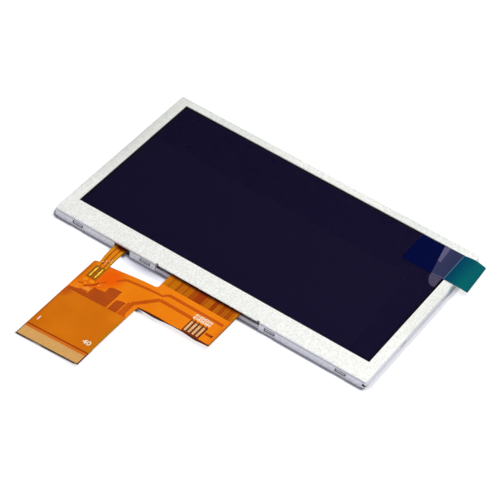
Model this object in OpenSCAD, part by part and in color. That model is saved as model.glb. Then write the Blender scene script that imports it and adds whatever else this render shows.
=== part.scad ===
// Colour TFT display module, 4.3 inch class, wide format.
//
// X runs along the long side, Y towards the far long side (the flexes leave at -Y), Z from the
// rear cover to the screen.  The origin is the middle of the module's rear face, which the
// module lies on.  All sizes are millimetres.

/* [Window in the bezel] */
// Length of the window
window_l = 98.7; // [80:0.1:120]
// Width of the window
window_w = 56.8; // [45:0.1:70]
// Width of the bezel's border at each short side
side_border = 3.4; // [3:0.05:6]
// Width of the bezel's border at the far long side
far_border = 3.1; // [2.7:0.05:6]
// Width of the bezel's border at the flex side
flex_border = 7.3; // [6.8:0.1:10]

/* [Housing] */
// Thickness of the bezel's sheet steel
sheet_t = 0.3; // [0.2:0.05:0.4]
// Outer radius of the bend between the bezel's top and its walls
bend_r = 0.45; // [0.2:0.05:0.6]
// Radius of the bezel's four upright corners
corner_r = 0.8; // [0.45:0.05:1.5]
// How far the bezel's walls stop above the surface the module lies on
wall_lift = 0.2; // [0.1:0.05:0.3]
// Thickness of the rear cover's sheet steel
rear_t = 0.2; // [0.15:0.05:0.4]
// Gap between neighbouring pieces of the housing
fit_gap = 0.1; // [0.05:0.01:0.15]

/* [Latches] */
// Length of each latch hole in the bezel's walls
latch_hole_l = 3.6; // [2.5:0.1:5]
// Height of each latch hole
latch_hole_h = 1.3; // [0.9:0.05:1.5]
// Height of the latch holes' middle above the rear face
latch_z = 1.1; // [0.95:0.05:1.3]
// Distance of the outer latches from the module's ends, on the long walls
latch_end = 8.25; // [4:0.05:14]
// Distance of the inner latches from the main flex's notch, on the long walls
latch_beside = 3.5; // [2.8:0.1:4.5]
// Distance of the latches from the middle, on the short walls
latch_side_y = 12.3; // [6:0.1:18]
// Length of each latch on the mould frame
latch_l = 3; // [1.5:0.1:3.2]
// Height of each latch on the mould frame
latch_h = 0.8; // [0.3:0.05:0.9]
// Depth of the pocket in the frame round each latch
latch_pocket = 0.5; // [0.3:0.05:0.6]

/* [Mould frame] */
// Thickness of the frame's wall beside the glass
frame_wall = 1.1; // [0.9:0.05:1.3]
// Size of the cut at the frame's upright corners
corner_cut = 1.4; // [0.8:0.1:1.6]
// Gap between the frame's wall and the glass
glass_gap = 0.15; // [0.05:0.01:0.3]
// Thickness of the frame's wall beside the diodes
rail_w = 1.65; // [1.4:0.05:1.9]
// How far the space for the light guide reaches past the window, on three sides
cavity_margin = 0.55; // [0.3:0.05:0.8]
// How far that space reaches past the window towards the diodes
cavity_front = 1.9; // [1.5:0.1:2.2]
// Gap round the light guide and the sheets on it
sheet_gap = 0.1; // [0.05:0.01:0.2]
// Thickness of the tape that holds the glass on the frame's ledge
tape_t = 0.06; // [0.04:0.01:0.1]
// How far the frame's lip and latches stay behind the bezel's outer face
setback = 0.07; // [0.03:0.01:0.12]

/* [Backlight] */
// Thickness of the white reflector sheet
reflector_t = 0.08; // [0.05:0.01:0.15]
// Thickness of the light guide
guide_t = 0.62; // [0.6:0.01:1]
// Thickness of the diffuser sheet
diffuser_t = 0.1; // [0.08:0.01:0.2]
// Thickness of each prism sheet
prism_t = 0.1; // [0.08:0.01:0.2]
// Air space between the upper prism sheet and the rear polarizer
air_gap = 0.06; // [0.05:0.01:0.2]
// Number of light-emitting diodes along the flex side
led_count = 10; // [6:1:10]
// Distance of the outermost diodes' middles from the ends of the light guide's space
led_end = 6.7; // [4:0.05:8]
// Length of each diode package
led_l = 3.8; // [3:0.1:5]
// Depth of each diode package, across the module
led_w = 1; // [0.8:0.1:1.2]
// Height of each diode package
led_h = 0.6; // [0.5:0.05:0.6]

/* [Glass] */
// Thickness of each of the two glass plates
glass_t = 0.5; // [0.3:0.05:0.7]
// How far the upper glass plate reaches past the window, on the flex side
filter_lap = 1.35; // [1:0.05:1.8]
// Thickness of each polarizer
polarizer_t = 0.14; // [0.1:0.01:0.2]
// How far the front polarizer reaches under the edge of the bezel's window
polarizer_lap = 0.35; // [0.1:0.05:0.6]
// Thickness of the peel-off film over the screen
film_t = 0.06; // [0.04:0.01:0.1]
// Distance of the peel-off film from the edge of the bezel's window
film_margin = 0.7; // [0.2:0.05:1]

/* [Driver chip] */
// Length of the driver chip on the ledge
chip_l = 21; // [15:0.5:30]
// Width of the driver chip
chip_w = 1.3; // [0.9:0.1:1.5]
// Height of the driver chip
chip_h = 0.3; // [0.2:0.05:0.45]

/* [Main flex] */
// Thickness of the main flex
flex_t = 0.12; // [0.08:0.01:0.16]
// How far the main flex reaches onto the glass ledge
bond_w = 1; // [0.6:0.1:1.2]
// Left edge of the flex where it leaves the glass
root_x0 = -12.15; // [-14:0.05:-11]
// Width of the flex where it leaves the glass
root_w = 23.65; // [21:0.05:27]
// Distance from the module's wall to the flex's arm, at the root
arm_gap = 7; // [5:0.1:12]
// How much further out the arm's near edge lies at its left end
arm_slant = 0.8; // [0:0.1:1.5]
// Width of the flex's arm at the root
arm_w = 9.8; // [8:0.1:14]
// How far the tail's left edge lies to the left of the root's
tail_offset = 20.55; // [20:0.05:24]
// Number of contacts on the tail
contact_count = 40; // [20:1:40]
// Distance between neighbouring contacts
contact_pitch = 0.5; // [0.4:0.05:0.5]
// Width of each contact
contact_w = 0.34; // [0.2:0.01:0.38]
// Length of each contact
contact_l = 3.7; // [2:0.1:5]
// Thickness of each contact
contact_t = 0.03; // [0.02:0.01:0.05]
// Length of the tail, from the arm to its end
tail_l = 28.9; // [24:0.1:45]
// Length of the flat stretch at the tail's end
flat_tail_l = 11.3; // [8:0.1:14]
// Length of the stiffener under the tail's end
stiffener_l = 7; // [4:0.1:8]
// Thickness of the stiffener
stiffener_t = 0.2; // [0.1:0.01:0.3]
// How much higher the tail's right edge lies than its left edge
tail_rise = 1.29; // [0:0.01:1.6]

/* [Test pads on the arm] */
// Number of test pads
pad_count = 4; // [2:1:6]
// Distance of the last test pad's middle from the flex's right edge
pad_inset = 4.73; // [3:0.01:6]
// Distance of the test pads from the arm's edge
pad_margin = 0.9; // [0.5:0.1:2]
// Distance between neighbouring test pads
pad_pitch = 1.3; // [1:0.05:1.5]
// Width of each test pad
pad_w = 0.7; // [0.4:0.05:0.8]
// Length of each test pad
pad_l = 4.4; // [2:0.1:5]
// Thickness of each test pad
pad_t = 0.03; // [0.02:0.01:0.05]

/* [Backlight flex] */
// Thickness of the backlight flex
strip_t = 0.1; // [0.08:0.01:0.12]
// Gap round the strip that carries the diodes
strip_gap = 0.15; // [0.05:0.01:0.3]
// Distance of the backlight flex's own tail from the left edge of the main flex's tail
lead_inset = 1.4; // [0.8:0.1:3]
// Width of the backlight flex's own tail
lead_w = 3.8; // [3:0.1:4.2]
// Length of the backlight flex's own tail, outside the housing
lead_l = 14.8; // [13:0.1:16]
// Distance between the middles of the two solder joints
solder_pitch = 1.7; // [1.2:0.1:2]
// Width of each solder joint
solder_w = 0.8; // [0.5:0.05:1]
// Length of each solder joint
solder_l = 4.6; // [3:0.1:5]
// Height of each solder joint
solder_h = 0.16; // [0.08:0.01:0.25]

/* [Notches in the bezel's front wall] */
// Distance of the main flex's notch's ends from the module's middle
flex_notch_x = 17.6; // [16:0.1:19]
// Height of the frame's lip in that notch
lip_h = 1.05; // [0.8:0.05:1.2]
// Width of the channel in the frame behind the lip
channel_w = 0.85; // [0.4:0.05:0.95]
// Height of that channel's floor above the rear face
channel_z = 0.5; // [0.4:0.05:0.7]
// Width of the relief cut at each end of that notch
relief_w = 0.9; // [0.5:0.1:1.2]
// Depth of the relief cut into the bezel's top
relief_d = 0.45; // [0.3:0.05:0.8]
// Length of the backlight flex's notch
lead_notch_l = 5.4; // [5:0.1:6]
// Gap between that notch's left edge and the flex
lead_notch_gap = 0.4; // [0.2:0.05:0.6]
// Height of the backlight flex's notch
lead_notch_h = 2.2; // [1.6:0.05:2.3]
// Length of the hole at each upright corner, along the long wall
corner_hole_l = 0.6; // [0.4:0.05:1.4]
// Length of that hole along the short wall
corner_hole_w = 1.4; // [0.4:0.05:1.6]
// Height of that hole
corner_hole_h = 0.9; // [0.6:0.05:1]
// Height of that hole's middle above the rear face
corner_hole_z = 0.8; // [0.75:0.05:1.3]

/* [Pull tab] */
// Thickness of the pull tab
tab_t = 0.08; // [0.05:0.01:0.12]
// Width of the pull tab
tab_w = 13; // [8:0.1:15]
// How far the pull tab is stuck onto the film, from the module's end
tab_hold = 17.7; // [12:0.1:25]
// How far the pull tab stands out past the module's end
tab_reach = 4.45; // [2:0.05:6]
// Distance of the tab's far edge from the edge of the bezel's window
tab_margin = 0.25; // [0.2:0.05:2]
// How far the tab lifts the film's edge
film_lift = 0.36; // [0.35:0.01:0.6]
// How far the tab's near corner droops
tab_droop_near = 0.3; // [0:0.05:0.8]
// How far the tab's far corner droops
tab_droop_far = 0.9; // [0:0.05:1.4]

/* [Hidden] */

$fn = 48;
// Overshoot of every cut, so that no cut ends on a face
eps = 0.05;
// Gap between the backlight flex and the frame's roof over it
roof_gap = 0.02;

// Heights of the layers, from the rear face up
z_reflector = rear_t;
z_guide = z_reflector + reflector_t;
z_diffuser = z_guide + guide_t;
z_lower_prism = z_diffuser + diffuser_t;
z_upper_prism = z_lower_prism + prism_t;
z_rear_polarizer = z_upper_prism + prism_t + air_gap;
z_tft = z_rear_polarizer + polarizer_t;
z_filter = z_tft + glass_t;
z_front_polarizer = z_filter + glass_t;
z_film = z_front_polarizer + polarizer_t;
z_bezel = z_film + film_t;
z_top = z_bezel + sheet_t;

// Half sizes of the housing's nested outlines
module_l = window_l + 2 * side_border;
module_w = window_w + far_border + flex_border;
half_l = module_l / 2;
half_w = module_w / 2;
inner_hl = half_l - sheet_t;
inner_hw = half_w - sheet_t;
frame_hl = inner_hl - fit_gap;
frame_hw = inner_hw - fit_gap;
inner_corner_r = max(corner_r - sheet_t, 0.1);

// Glass plates in the frame's pocket, and the window over them
window_hl = window_l / 2;
window_y0 = -half_w + flex_border;
window_y1 = half_w - far_border;
glass_hl = frame_hl - frame_wall - glass_gap;
tft_y0 = -frame_hw + frame_wall + glass_gap;
tft_y1 = frame_hw - frame_wall - glass_gap;
filter_y0 = window_y0 - filter_lap;
film_x1 = window_hl - film_margin;
film_y0 = window_y0 + film_margin;
film_y1 = window_y1 - film_margin;

// Space for the light guide and the sheets on it, and the bay beside it for the diodes
cavity_hl = window_hl + cavity_margin;
cavity_y0 = window_y0 - cavity_front;
cavity_y1 = window_y1 + cavity_margin;
bay_y0 = -frame_hw + rail_w;
roof_z = z_guide + led_h + strip_t + roof_gap;
ledge_z = z_tft - tape_t;
frame_top_z = z_bezel - fit_gap;
inner_rail_w = 0.25;
lip_t = 0.15;
lead_side_gap = 0.3;
led_pitch = 2 * (cavity_hl - led_end) / (led_count - 1);

// Latch holes along the long walls
latch_outer_x = half_l - latch_end;
latch_inner_x = flex_notch_x + latch_beside;

// Mid-surface of the flex: it leaves the glass level, sinks to the left, and its tail lies
// tilted with only the left edge and the stiffener on the surface below
exit_z = z_filter + flex_t / 2;
low_z = stiffener_t + flex_t / 2;
root_x1 = root_x0 + root_w;
arm_y1 = -half_w - arm_gap;
arm_y0 = arm_y1 - arm_w;
tail_x0 = root_x0 - tail_offset;
tail_end_y = arm_y0 - tail_l;
tail_w = (contact_count + 1) * contact_pitch;
tail_tilt = asin(tail_rise / tail_w);
tail_x1 = tail_x0 + tail_w * cos(tail_tilt);
tail_half_t = flex_t / 2 * cos(tail_tilt);
inner_fillet_r = 0.9;
outer_fillet_r = 0.9;
tail_corner_r = 0.3;

// Stretches over which the flex sinks along X, sags along Y and twists into the tail
sink_x0 = tail_x0 - 0.3;
level_x0 = root_x0 - 0.2;
sag_reach = 18;
sag_y1 = arm_y1 + 0.6;
sag_y0 = sag_y1 - 12;
twist_y1 = arm_y1 - 3.4;
twist_y0 = tail_end_y + flat_tail_l;

// Grid lines that the flexes are bent along; both flexes share them, so they nest
grid_edge = 1;
flex_xs = concat(grid_line(tail_x0 - grid_edge, level_x0, 14),
                 grid_line(root_x0 + 2, root_x1 + grid_edge, 6));
flex_ys = concat([tail_end_y - grid_edge], grid_line(twist_y0, arm_y1 - 1.4, 11),
                 grid_line(sag_y1, tft_y0 + bond_w + grid_edge, 4));

// Test pads
pad_x0 = root_x1 - pad_inset - (pad_count - 1) * pad_pitch;
pad_y0 = arm_y0 + pad_margin;

// Backlight flex
strip_z = z_guide + led_h + strip_t / 2;
strip_y0 = bay_y0 + strip_gap;
strip_y1 = cavity_y0 - strip_gap;
strip_hl = cavity_hl - strip_gap;
lead_x0 = tail_x0 + lead_inset;
lead_x1 = lead_x0 + lead_w;
lead_y0 = -half_w - lead_l;
lead_drop_y = -half_w - 0.2;
lead_drop_len = 8;
lead_gap = 0.01;
landing_y = lead_drop_y - lead_drop_len;
lead_ys = concat(within(flex_ys, lead_y0 - 3, landing_y),
                 grid_line(landing_y + 0.8, lead_drop_y, 7), [strip_y1 + grid_edge]);
lead_xs = concat([-strip_hl - grid_edge], within(flex_xs, lead_x0 - 2, lead_x1 + 2),
                 [strip_hl + grid_edge]);

// Pull tab and the part of the film that it lifts
tab_x0 = half_l - tab_hold;
tab_x1 = half_l + tab_reach;
tab_y1 = window_y1 - tab_margin;
tab_y0 = tab_y1 - tab_w;
tab_gap = 0.02;
peel_x = film_x1 - 3.6;
peel_slope = 0.186;
peel_end_slope = 0.84;
peel_xs = concat(grid_line(film_x1 - 7.5, film_x1 - 0.6, 6), [film_x1]);
peel_ys = concat(grid_line(tab_y0 - 4.5, tab_y0, 4), grid_line(tab_y0 + 3, film_y1, 4));

function grid_line(from, to, n) = [for (i = [0:n]) from + (to - from) * i / n];

function within(list, lo, hi) = [for (v = list) if (v >= lo && v <= hi) v];

function smooth(t) = let (u = min(max(t, 0), 1)) u * u * (3 - 2 * u);

function arc(cx, cy, r, from, to, n = 6) =
    [for (i = [0:n]) let (a = from + (to - from) * i / n) [cx + r * cos(a), cy + r * sin(a)]];

// Height of the main flex's mid-surface at a point of its plan
function flex_mid(x, y) =
    let (level_x = level_x0 + sag_reach * smooth((sag_y1 - y) / (sag_y1 - sag_y0)))
    let (arm = low_z + (exit_z - low_z) * smooth((x - sink_x0) / (level_x - sink_x0)))
    let (tail = low_z + tan(tail_tilt) * (x - tail_x0))
    let (w = smooth((twist_y1 - y) / (twist_y1 - twist_y0)))
    arm * (1 - w) + tail * w;

// Height of the backlight flex's mid-surface: level inside the housing, then down onto the arm
function lead_mid(x, y) =
    let (w = smooth((lead_drop_y - y) / lead_drop_len))
    let (on_arm = flex_mid(x, y) + flex_t / 2 + lead_gap + strip_t / 2)
    strip_z * (1 - w) + on_arm * w;

// Where the lifted part of the film begins, for a line across the screen
function peel_start(y) =
    y > tab_y0 ? peel_x - peel_slope * (y - tab_y0) : peel_x + peel_end_slope * (tab_y0 - y);

function peel_lift(x, y) =
    let (x0 = peel_start(y))
    x0 >= film_x1 ? 0 : film_lift * smooth((x - x0) / (film_x1 - x0));

function tab_mid(x, y) =
    let (past_end = max(x - half_l, 0) / tab_reach)
    let (across = (y - tab_y0) / tab_w)
    let (droop = tab_droop_near + (tab_droop_far - tab_droop_near) * across)
    z_bezel + peel_lift(min(x, film_x1), min(y, film_y1)) + tab_gap + tab_t / 2
        - droop * past_end * past_end;

// A box between two corners
module block(x0, x1, y0, y1, z0, z1)
{
    translate([x0, y0, z0])
        cube([x1 - x0, y1 - y0, z1 - z0]);
}

// A flat rectangular sheet, centred on the screen's long axis
module flat_sheet(hl, y0, y1, z, t)
{
    block(-hl, hl, y0, y1, z, z + t);
}

module rounded_plan(hl, hw, r)
{
    square([2 * hl, 2 * (hw - r)], center = true);
    square([2 * (hl - r), 2 * hw], center = true);
    for (sx = [-1, 1], sy = [-1, 1])
        translate([sx * (hl - r), sy * (hw - r)])
            circle(r);
}

// Upright section of a pressed lid: square at the foot, rounded by r at the top
module lid_section(hl, h, r)
{
    translate([-hl, 0])
        square([2 * hl, h - r]);
    translate([-hl + r, 0])
        square([2 * (hl - r), h]);
    for (sx = [-1, 1])
        translate([sx * (hl - r), h - r])
            circle(r);
}

// A thin sheet bent to mid(x, y), between the first and last lines of a grid
module bent_slab(xs, ys, mid, t)
{
    nx = len(xs);
    ny = len(ys);
    points = [for (side = [-1, 1]) for (y = ys) for (x = xs) [x, y, mid(x, y) + side * t / 2]];
    function low(i, j) = j * nx + i;
    function high(i, j) = (ny + j) * nx + i;
    cells = [for (j = [0:ny - 2]) for (i = [0:nx - 2]) [i, j]];
    top = [for (c = cells) each [
        [high(c[0], c[1]), high(c[0], c[1] + 1), high(c[0] + 1, c[1] + 1)],
        [high(c[0], c[1]), high(c[0] + 1, c[1] + 1), high(c[0] + 1, c[1])]]];
    bottom = [for (c = cells) each [
        [low(c[0], c[1]), low(c[0] + 1, c[1] + 1), low(c[0], c[1] + 1)],
        [low(c[0], c[1]), low(c[0] + 1, c[1]), low(c[0] + 1, c[1] + 1)]]];
    ends = [for (i = [0:nx - 2]) each [
        [low(i, 0), high(i, 0), high(i + 1, 0), low(i + 1, 0)],
        [low(i + 1, ny - 1), high(i + 1, ny - 1), high(i, ny - 1), low(i, ny - 1)]]];
    sides = [for (j = [0:ny - 2]) each [
        [low(0, j + 1), high(0, j + 1), high(0, j), low(0, j)],
        [low(nx - 1, j), high(nx - 1, j), high(nx - 1, j + 1), low(nx - 1, j + 1)]]];
    polyhedron(points, concat(top, bottom, ends, sides));
}

// A bent sheet trimmed to the outline given as its child
module bent_sheet(xs, ys, mid, t)
{
    intersection() {
        bent_slab(xs, ys, mid, t);
        translate([0, 0, -1])
            linear_extrude(z_top + 2)
                children();
    }
}

// Places its child at each latch hole, with -Y pointing out of the wall and Y = 0 on the
// module's outer face
module at_latches()
{
    for (x = [-latch_outer_x, -latch_inner_x, latch_inner_x, latch_outer_x]) {
        translate([x, -half_w, latch_z])
            children();
        translate([x, half_w, latch_z])
            rotate([0, 0, 180])
                children();
    }
    for (y = [-latch_side_y, latch_side_y]) {
        translate([-half_l, y, latch_z])
            rotate([0, 0, -90])
                children();
        translate([half_l, y, latch_z])
            rotate([0, 0, 90])
                children();
    }
}

// Solid form of the bezel, before it is hollowed
module bezel_blank()
{
    intersection() {
        linear_extrude(z_top)
            rounded_plan(half_l, half_w, corner_r);
        translate([0, half_w, 0])
            rotate([90, 0, 0])
                linear_extrude(module_w)
                    lid_section(half_l, z_top, bend_r);
        translate([-half_l, 0, 0])
            rotate([90, 0, 90])
                linear_extrude(module_l)
                    lid_section(half_w, z_top, bend_r);
    }
}

// Openings in the front wall for the two flexes
module flex_notches()
{
    block(-flex_notch_x, flex_notch_x, -half_w - eps, -half_w + sheet_t + eps, -eps, z_bezel);
    for (side = [-1, 1])
        translate([side * (flex_notch_x - relief_w / 2), 0, 0])
            block(-relief_w / 2, relief_w / 2, -half_w - eps, -half_w + relief_d,
                  z_bezel - eps, z_top + eps);
    translate([lead_x0 - lead_notch_gap, 0, 0])
        block(0, lead_notch_l, -half_w - eps, -half_w + sheet_t + eps, -eps, lead_notch_h);
}

// Small hole at each upright corner, where the folded walls meet
module corner_holes()
{
    for (sx = [-1, 1], sy = [-1, 1])
        translate([sx * half_l, sy * half_w, corner_hole_z])
            cube([2 * corner_hole_l, 2 * corner_hole_w, corner_hole_h], center = true);
}

module front_bezel()
{
    color("gainsboro")
        difference() {
            bezel_blank();
            translate([0, 0, -eps])
                linear_extrude(z_bezel + eps)
                    rounded_plan(inner_hl, inner_hw, inner_corner_r);
            block(-window_hl, window_hl, window_y0, window_y1, z_bezel - eps, z_top + eps);
            block(-half_l - eps, half_l + eps, -half_w - eps, half_w + eps, -eps, wall_lift);
            flex_notches();
            corner_holes();
            at_latches()
                cube([latch_hole_l, 2 * (sheet_t + eps), latch_hole_h], center = true);
        }
}

module rear_cover()
{
    color("silver")
        linear_extrude(rear_t)
            rounded_plan(frame_hl, frame_hw, inner_corner_r);
}

// Wedge that snaps into a latch hole: it slopes out towards the screen, from its pocket's floor
module latch()
{
    tip = sheet_t + fit_gap - setback;
    root = latch_pocket + eps;
    translate([-latch_l / 2, sheet_t + fit_gap, 0])
        rotate([90, 0, 90])
            linear_extrude(latch_l)
                polygon([[root, -latch_h / 2], [0, -latch_h / 2], [-tip, -latch_h / 4],
                         [-tip, latch_h / 2], [root, latch_h / 2]]);
}

// Frame's outline, with its corners cut off
module frame_plan(hl, hw, cut)
{
    polygon([[-hl + cut, -hw], [hl - cut, -hw], [hl, -hw + cut], [hl, hw - cut],
             [hl - cut, hw], [-hl + cut, hw], [-hl, hw - cut], [-hl, -hw + cut]]);
}

module mould_frame()
{
    color("white") {
        difference() {
            translate([0, 0, rear_t])
                linear_extrude(frame_top_z - rear_t)
                    frame_plan(frame_hl, frame_hw, corner_cut);
            // Pocket for the glass
            block(-glass_hl - glass_gap, glass_hl + glass_gap, tft_y0 - glass_gap,
                  tft_y1 + glass_gap, ledge_z, z_top);
            // Space for the light guide and its sheets
            block(-cavity_hl, cavity_hl, cavity_y0, cavity_y1, 0, z_top);
            // Bay for the diodes, under the ledge
            block(-cavity_hl, cavity_hl, bay_y0, cavity_y0 + eps, 0, roof_z);
            // Way out for the main flex, over the lip and the channel behind it
            block(-flex_notch_x + fit_gap, flex_notch_x - fit_gap, -half_w,
                  -frame_hw + frame_wall - inner_rail_w, lip_h, z_top);
            block(-flex_notch_x + fit_gap, flex_notch_x - fit_gap, -half_w, tft_y0, z_tft, z_top);
            block(-flex_notch_x + fit_gap, flex_notch_x - fit_gap, -frame_hw + lip_t,
                  -frame_hw + lip_t + channel_w, channel_z, z_top);
            // Way out for the backlight flex, as long as its notch in the bezel
            block(lead_x0 - lead_notch_gap + fit_gap,
                  lead_x0 - lead_notch_gap + lead_notch_l - fit_gap, -half_w, bay_y0 + eps,
                  z_guide + led_h - lead_side_gap, z_top);
            // Pockets round the latches
            at_latches()
                translate([0, sheet_t + fit_gap, 0])
                    cube([latch_hole_l, 2 * latch_pocket, latch_hole_h], center = true);
        }
        // Lip that fills the main flex's notch
        block(-flex_notch_x + fit_gap, flex_notch_x - fit_gap, -half_w + setback,
              -frame_hw + eps, rear_t, lip_h);
        at_latches()
            latch();
    }
}

module reflector_sheet()
{
    color("white")
        flat_sheet(cavity_hl - sheet_gap, cavity_y0 + sheet_gap, cavity_y1 - sheet_gap,
                   z_reflector, reflector_t);
}

module light_guide()
{
    color("lightcyan")
        flat_sheet(cavity_hl - sheet_gap, cavity_y0 + sheet_gap, cavity_y1 - sheet_gap,
                   z_guide, guide_t);
}

module diffuser_sheet()
{
    color("whitesmoke")
        flat_sheet(cavity_hl - sheet_gap, cavity_y0 + sheet_gap, cavity_y1 - sheet_gap,
                   z_diffuser, diffuser_t);
}

module lower_prism_sheet()
{
    color("lavender")
        flat_sheet(cavity_hl - sheet_gap, cavity_y0 + sheet_gap, cavity_y1 - sheet_gap,
                   z_lower_prism, prism_t);
}

module upper_prism_sheet()
{
    color("lavender")
        flat_sheet(cavity_hl - sheet_gap, cavity_y0 + sheet_gap, cavity_y1 - sheet_gap,
                   z_upper_prism, prism_t);
}

// Double-sided tape on the frame's ledge that holds the glass
module rim_tape()
{
    color("black")
        difference() {
            flat_sheet(glass_hl, tft_y0, tft_y1, ledge_z, z_tft - ledge_z);
            block(-cavity_hl, cavity_hl, cavity_y0, cavity_y1, 0, z_top);
        }
}

module rear_polarizer()
{
    color("dimgray")
        flat_sheet(cavity_hl - sheet_gap, cavity_y0 + sheet_gap, cavity_y1 - sheet_gap,
                   z_rear_polarizer, polarizer_t);
}

module tft_glass()
{
    color("darkslategray")
        flat_sheet(glass_hl, tft_y0, tft_y1, z_tft, glass_t);
}

module colour_filter_glass()
{
    color("darkslategray")
        flat_sheet(glass_hl, filter_y0, tft_y1, z_filter, glass_t);
}

module front_polarizer()
{
    color("midnightblue")
        flat_sheet(window_hl + polarizer_lap, window_y0 - polarizer_lap,
                   window_y1 + polarizer_lap, z_front_polarizer, polarizer_t);
}

// Peel-off film, lifted at its edge where the tab pulls it
module protective_film()
{
    function mid(x, y) = z_film + film_t / 2 + peel_lift(x, y);
    color("darkslateblue")
        bent_slab(concat([-film_x1], peel_xs), concat([film_y0], peel_ys),
                  function (x, y) mid(x, y), film_t);
}

module pull_tab()
{
    xs = concat([tab_x0], peel_xs, [half_l], grid_line(half_l + 1, tab_x1, 3));
    ys = concat(within(peel_ys, tab_y0, film_y1), [tab_y1]);
    color("teal")
        bent_slab(xs, ys, function (x, y) tab_mid(x, y), tab_t);
}

module driver_chip()
{
    middle_y = (tft_y0 + bond_w + filter_y0) / 2;
    color("dimgray")
        block(-chip_l / 2, chip_l / 2, middle_y - chip_w / 2, middle_y + chip_w / 2,
              z_filter, z_filter + chip_h);
}

// Plan of the main flex: root on the glass, arm to the left, tail to the connector
module flex_outline()
{
    f = inner_fillet_r;
    r = outer_fillet_r;
    q = tail_corner_r;
    polygon(concat(
        [[root_x1, tft_y0 + bond_w], [root_x0, tft_y0 + bond_w]],
        arc(root_x0 - f, arm_y1 + f, f, 0, -90),
        arc(tail_x0 + r, arm_y1 - arm_slant - r, r, 90, 180),
        arc(tail_x0 + q, tail_end_y + q, q, 180, 270, 3),
        arc(tail_x1 - q, tail_end_y + q, q, 270, 360, 3),
        arc(tail_x1 + f, arm_y0 - f, f, 180, 90),
        arc(root_x1 - q, arm_y0 + q, q, -90, 0, 3)));
}

module main_flex()
{
    color("darkorange")
        bent_sheet(flex_xs, flex_ys, function (x, y) flex_mid(x, y), flex_t)
            flex_outline();
}

// Tail frame: X runs across the tilted tail, Z = 0 on its mid-surface
module on_tail()
{
    translate([tail_x0, 0, low_z])
        rotate([0, -tail_tilt, 0])
            children();
}

module flex_stiffener()
{
    color("saddlebrown")
        on_tail()
            block(0, tail_w, tail_end_y, tail_end_y + stiffener_l,
                  -tail_half_t - stiffener_t * cos(tail_tilt), -tail_half_t);
}

module contact_fingers()
{
    color("gold")
        on_tail()
            for (i = [1:contact_count])
                translate([i * contact_pitch - contact_w / 2, 0, 0])
                    block(0, contact_w, tail_end_y + eps, tail_end_y + eps + contact_l,
                          tail_half_t, tail_half_t + contact_t);
}

module test_pads()
{
    color("palegoldenrod")
        bent_sheet(within(flex_xs, pad_x0 - 6, root_x1 + grid_edge),
                   within(flex_ys, pad_y0 - 3, pad_y0 + pad_l + 5),
                   function (x, y) flex_mid(x, y) + (flex_t + pad_t) / 2, pad_t)
            for (i = [0:pad_count - 1])
                translate([pad_x0 + i * pad_pitch - pad_w / 2, pad_y0])
                    square([pad_w, pad_l]);
}

module backlight_flex()
{
    color("orange")
        bent_sheet(lead_xs, lead_ys, function (x, y) lead_mid(x, y), strip_t)
            {
                translate([-strip_hl, strip_y0])
                    square([2 * strip_hl, strip_y1 - strip_y0]);
                translate([lead_x0, lead_y0])
                    square([lead_w, strip_y0 - lead_y0 + eps]);
            }
}

module leds()
{
    color("khaki")
        for (i = [0:led_count - 1])
            translate([(i - (led_count - 1) / 2) * led_pitch, 0, 0])
                block(-led_l / 2, led_l / 2, strip_y1 - led_w, strip_y1,
                      z_guide, z_guide + led_h);
}

module solder_joints()
{
    middle = lead_x0 + lead_w / 2;
    y0 = lead_y0 + 0.4;
    color("gold")
        bent_sheet(lead_xs, within(lead_ys, y0 - 3, landing_y + 2),
                   function (x, y) lead_mid(x, y) + (strip_t + solder_h) / 2, solder_h)
            for (side = [-1, 1])
                translate([middle + side * solder_pitch / 2 - solder_w / 2, y0])
                    square([solder_w, solder_l]);
}

front_bezel();
rear_cover();
mould_frame();
reflector_sheet();
light_guide();
diffuser_sheet();
lower_prism_sheet();
upper_prism_sheet();
rim_tape();
rear_polarizer();
tft_glass();
colour_filter_glass();
front_polarizer();
protective_film();
pull_tab();
driver_chip();
main_flex();
flex_stiffener();
contact_fingers();
test_pads();
backlight_flex();
leds();
solder_joints();
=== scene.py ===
"""Looks of the colour TFT display module.

Sizes are millimetres and repeat those of the part's source: X runs along the long side, Y away
from the flexes and Z out of the screen.
"""
import math

import bmesh
import bpy
from mathutils import Matrix, Vector


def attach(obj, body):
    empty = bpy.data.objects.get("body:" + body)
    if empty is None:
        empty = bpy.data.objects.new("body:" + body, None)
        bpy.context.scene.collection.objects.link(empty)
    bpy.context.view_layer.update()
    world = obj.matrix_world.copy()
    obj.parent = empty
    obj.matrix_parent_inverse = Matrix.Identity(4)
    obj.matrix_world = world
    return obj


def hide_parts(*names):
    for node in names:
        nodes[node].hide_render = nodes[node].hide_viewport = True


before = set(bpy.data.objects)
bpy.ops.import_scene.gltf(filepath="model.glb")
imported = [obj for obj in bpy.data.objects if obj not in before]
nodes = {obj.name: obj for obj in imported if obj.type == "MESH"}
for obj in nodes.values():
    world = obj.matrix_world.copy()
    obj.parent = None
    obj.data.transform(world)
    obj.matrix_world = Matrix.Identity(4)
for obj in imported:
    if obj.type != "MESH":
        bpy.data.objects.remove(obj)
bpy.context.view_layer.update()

MM = 0.001

# ---------------------------------------------------------------- sizes (mm)
# Housing, and the layers at its top
HALF_L, HALF_W = 52.75, 33.6
Z_FILM, FILM_T, Z_BEZEL = 2.54, 0.06, 2.6
LEAD_NOTCH_GAP, LEAD_NOTCH_L, FLEX_NOTCH_X = 0.4, 5.4, 17.6

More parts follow.
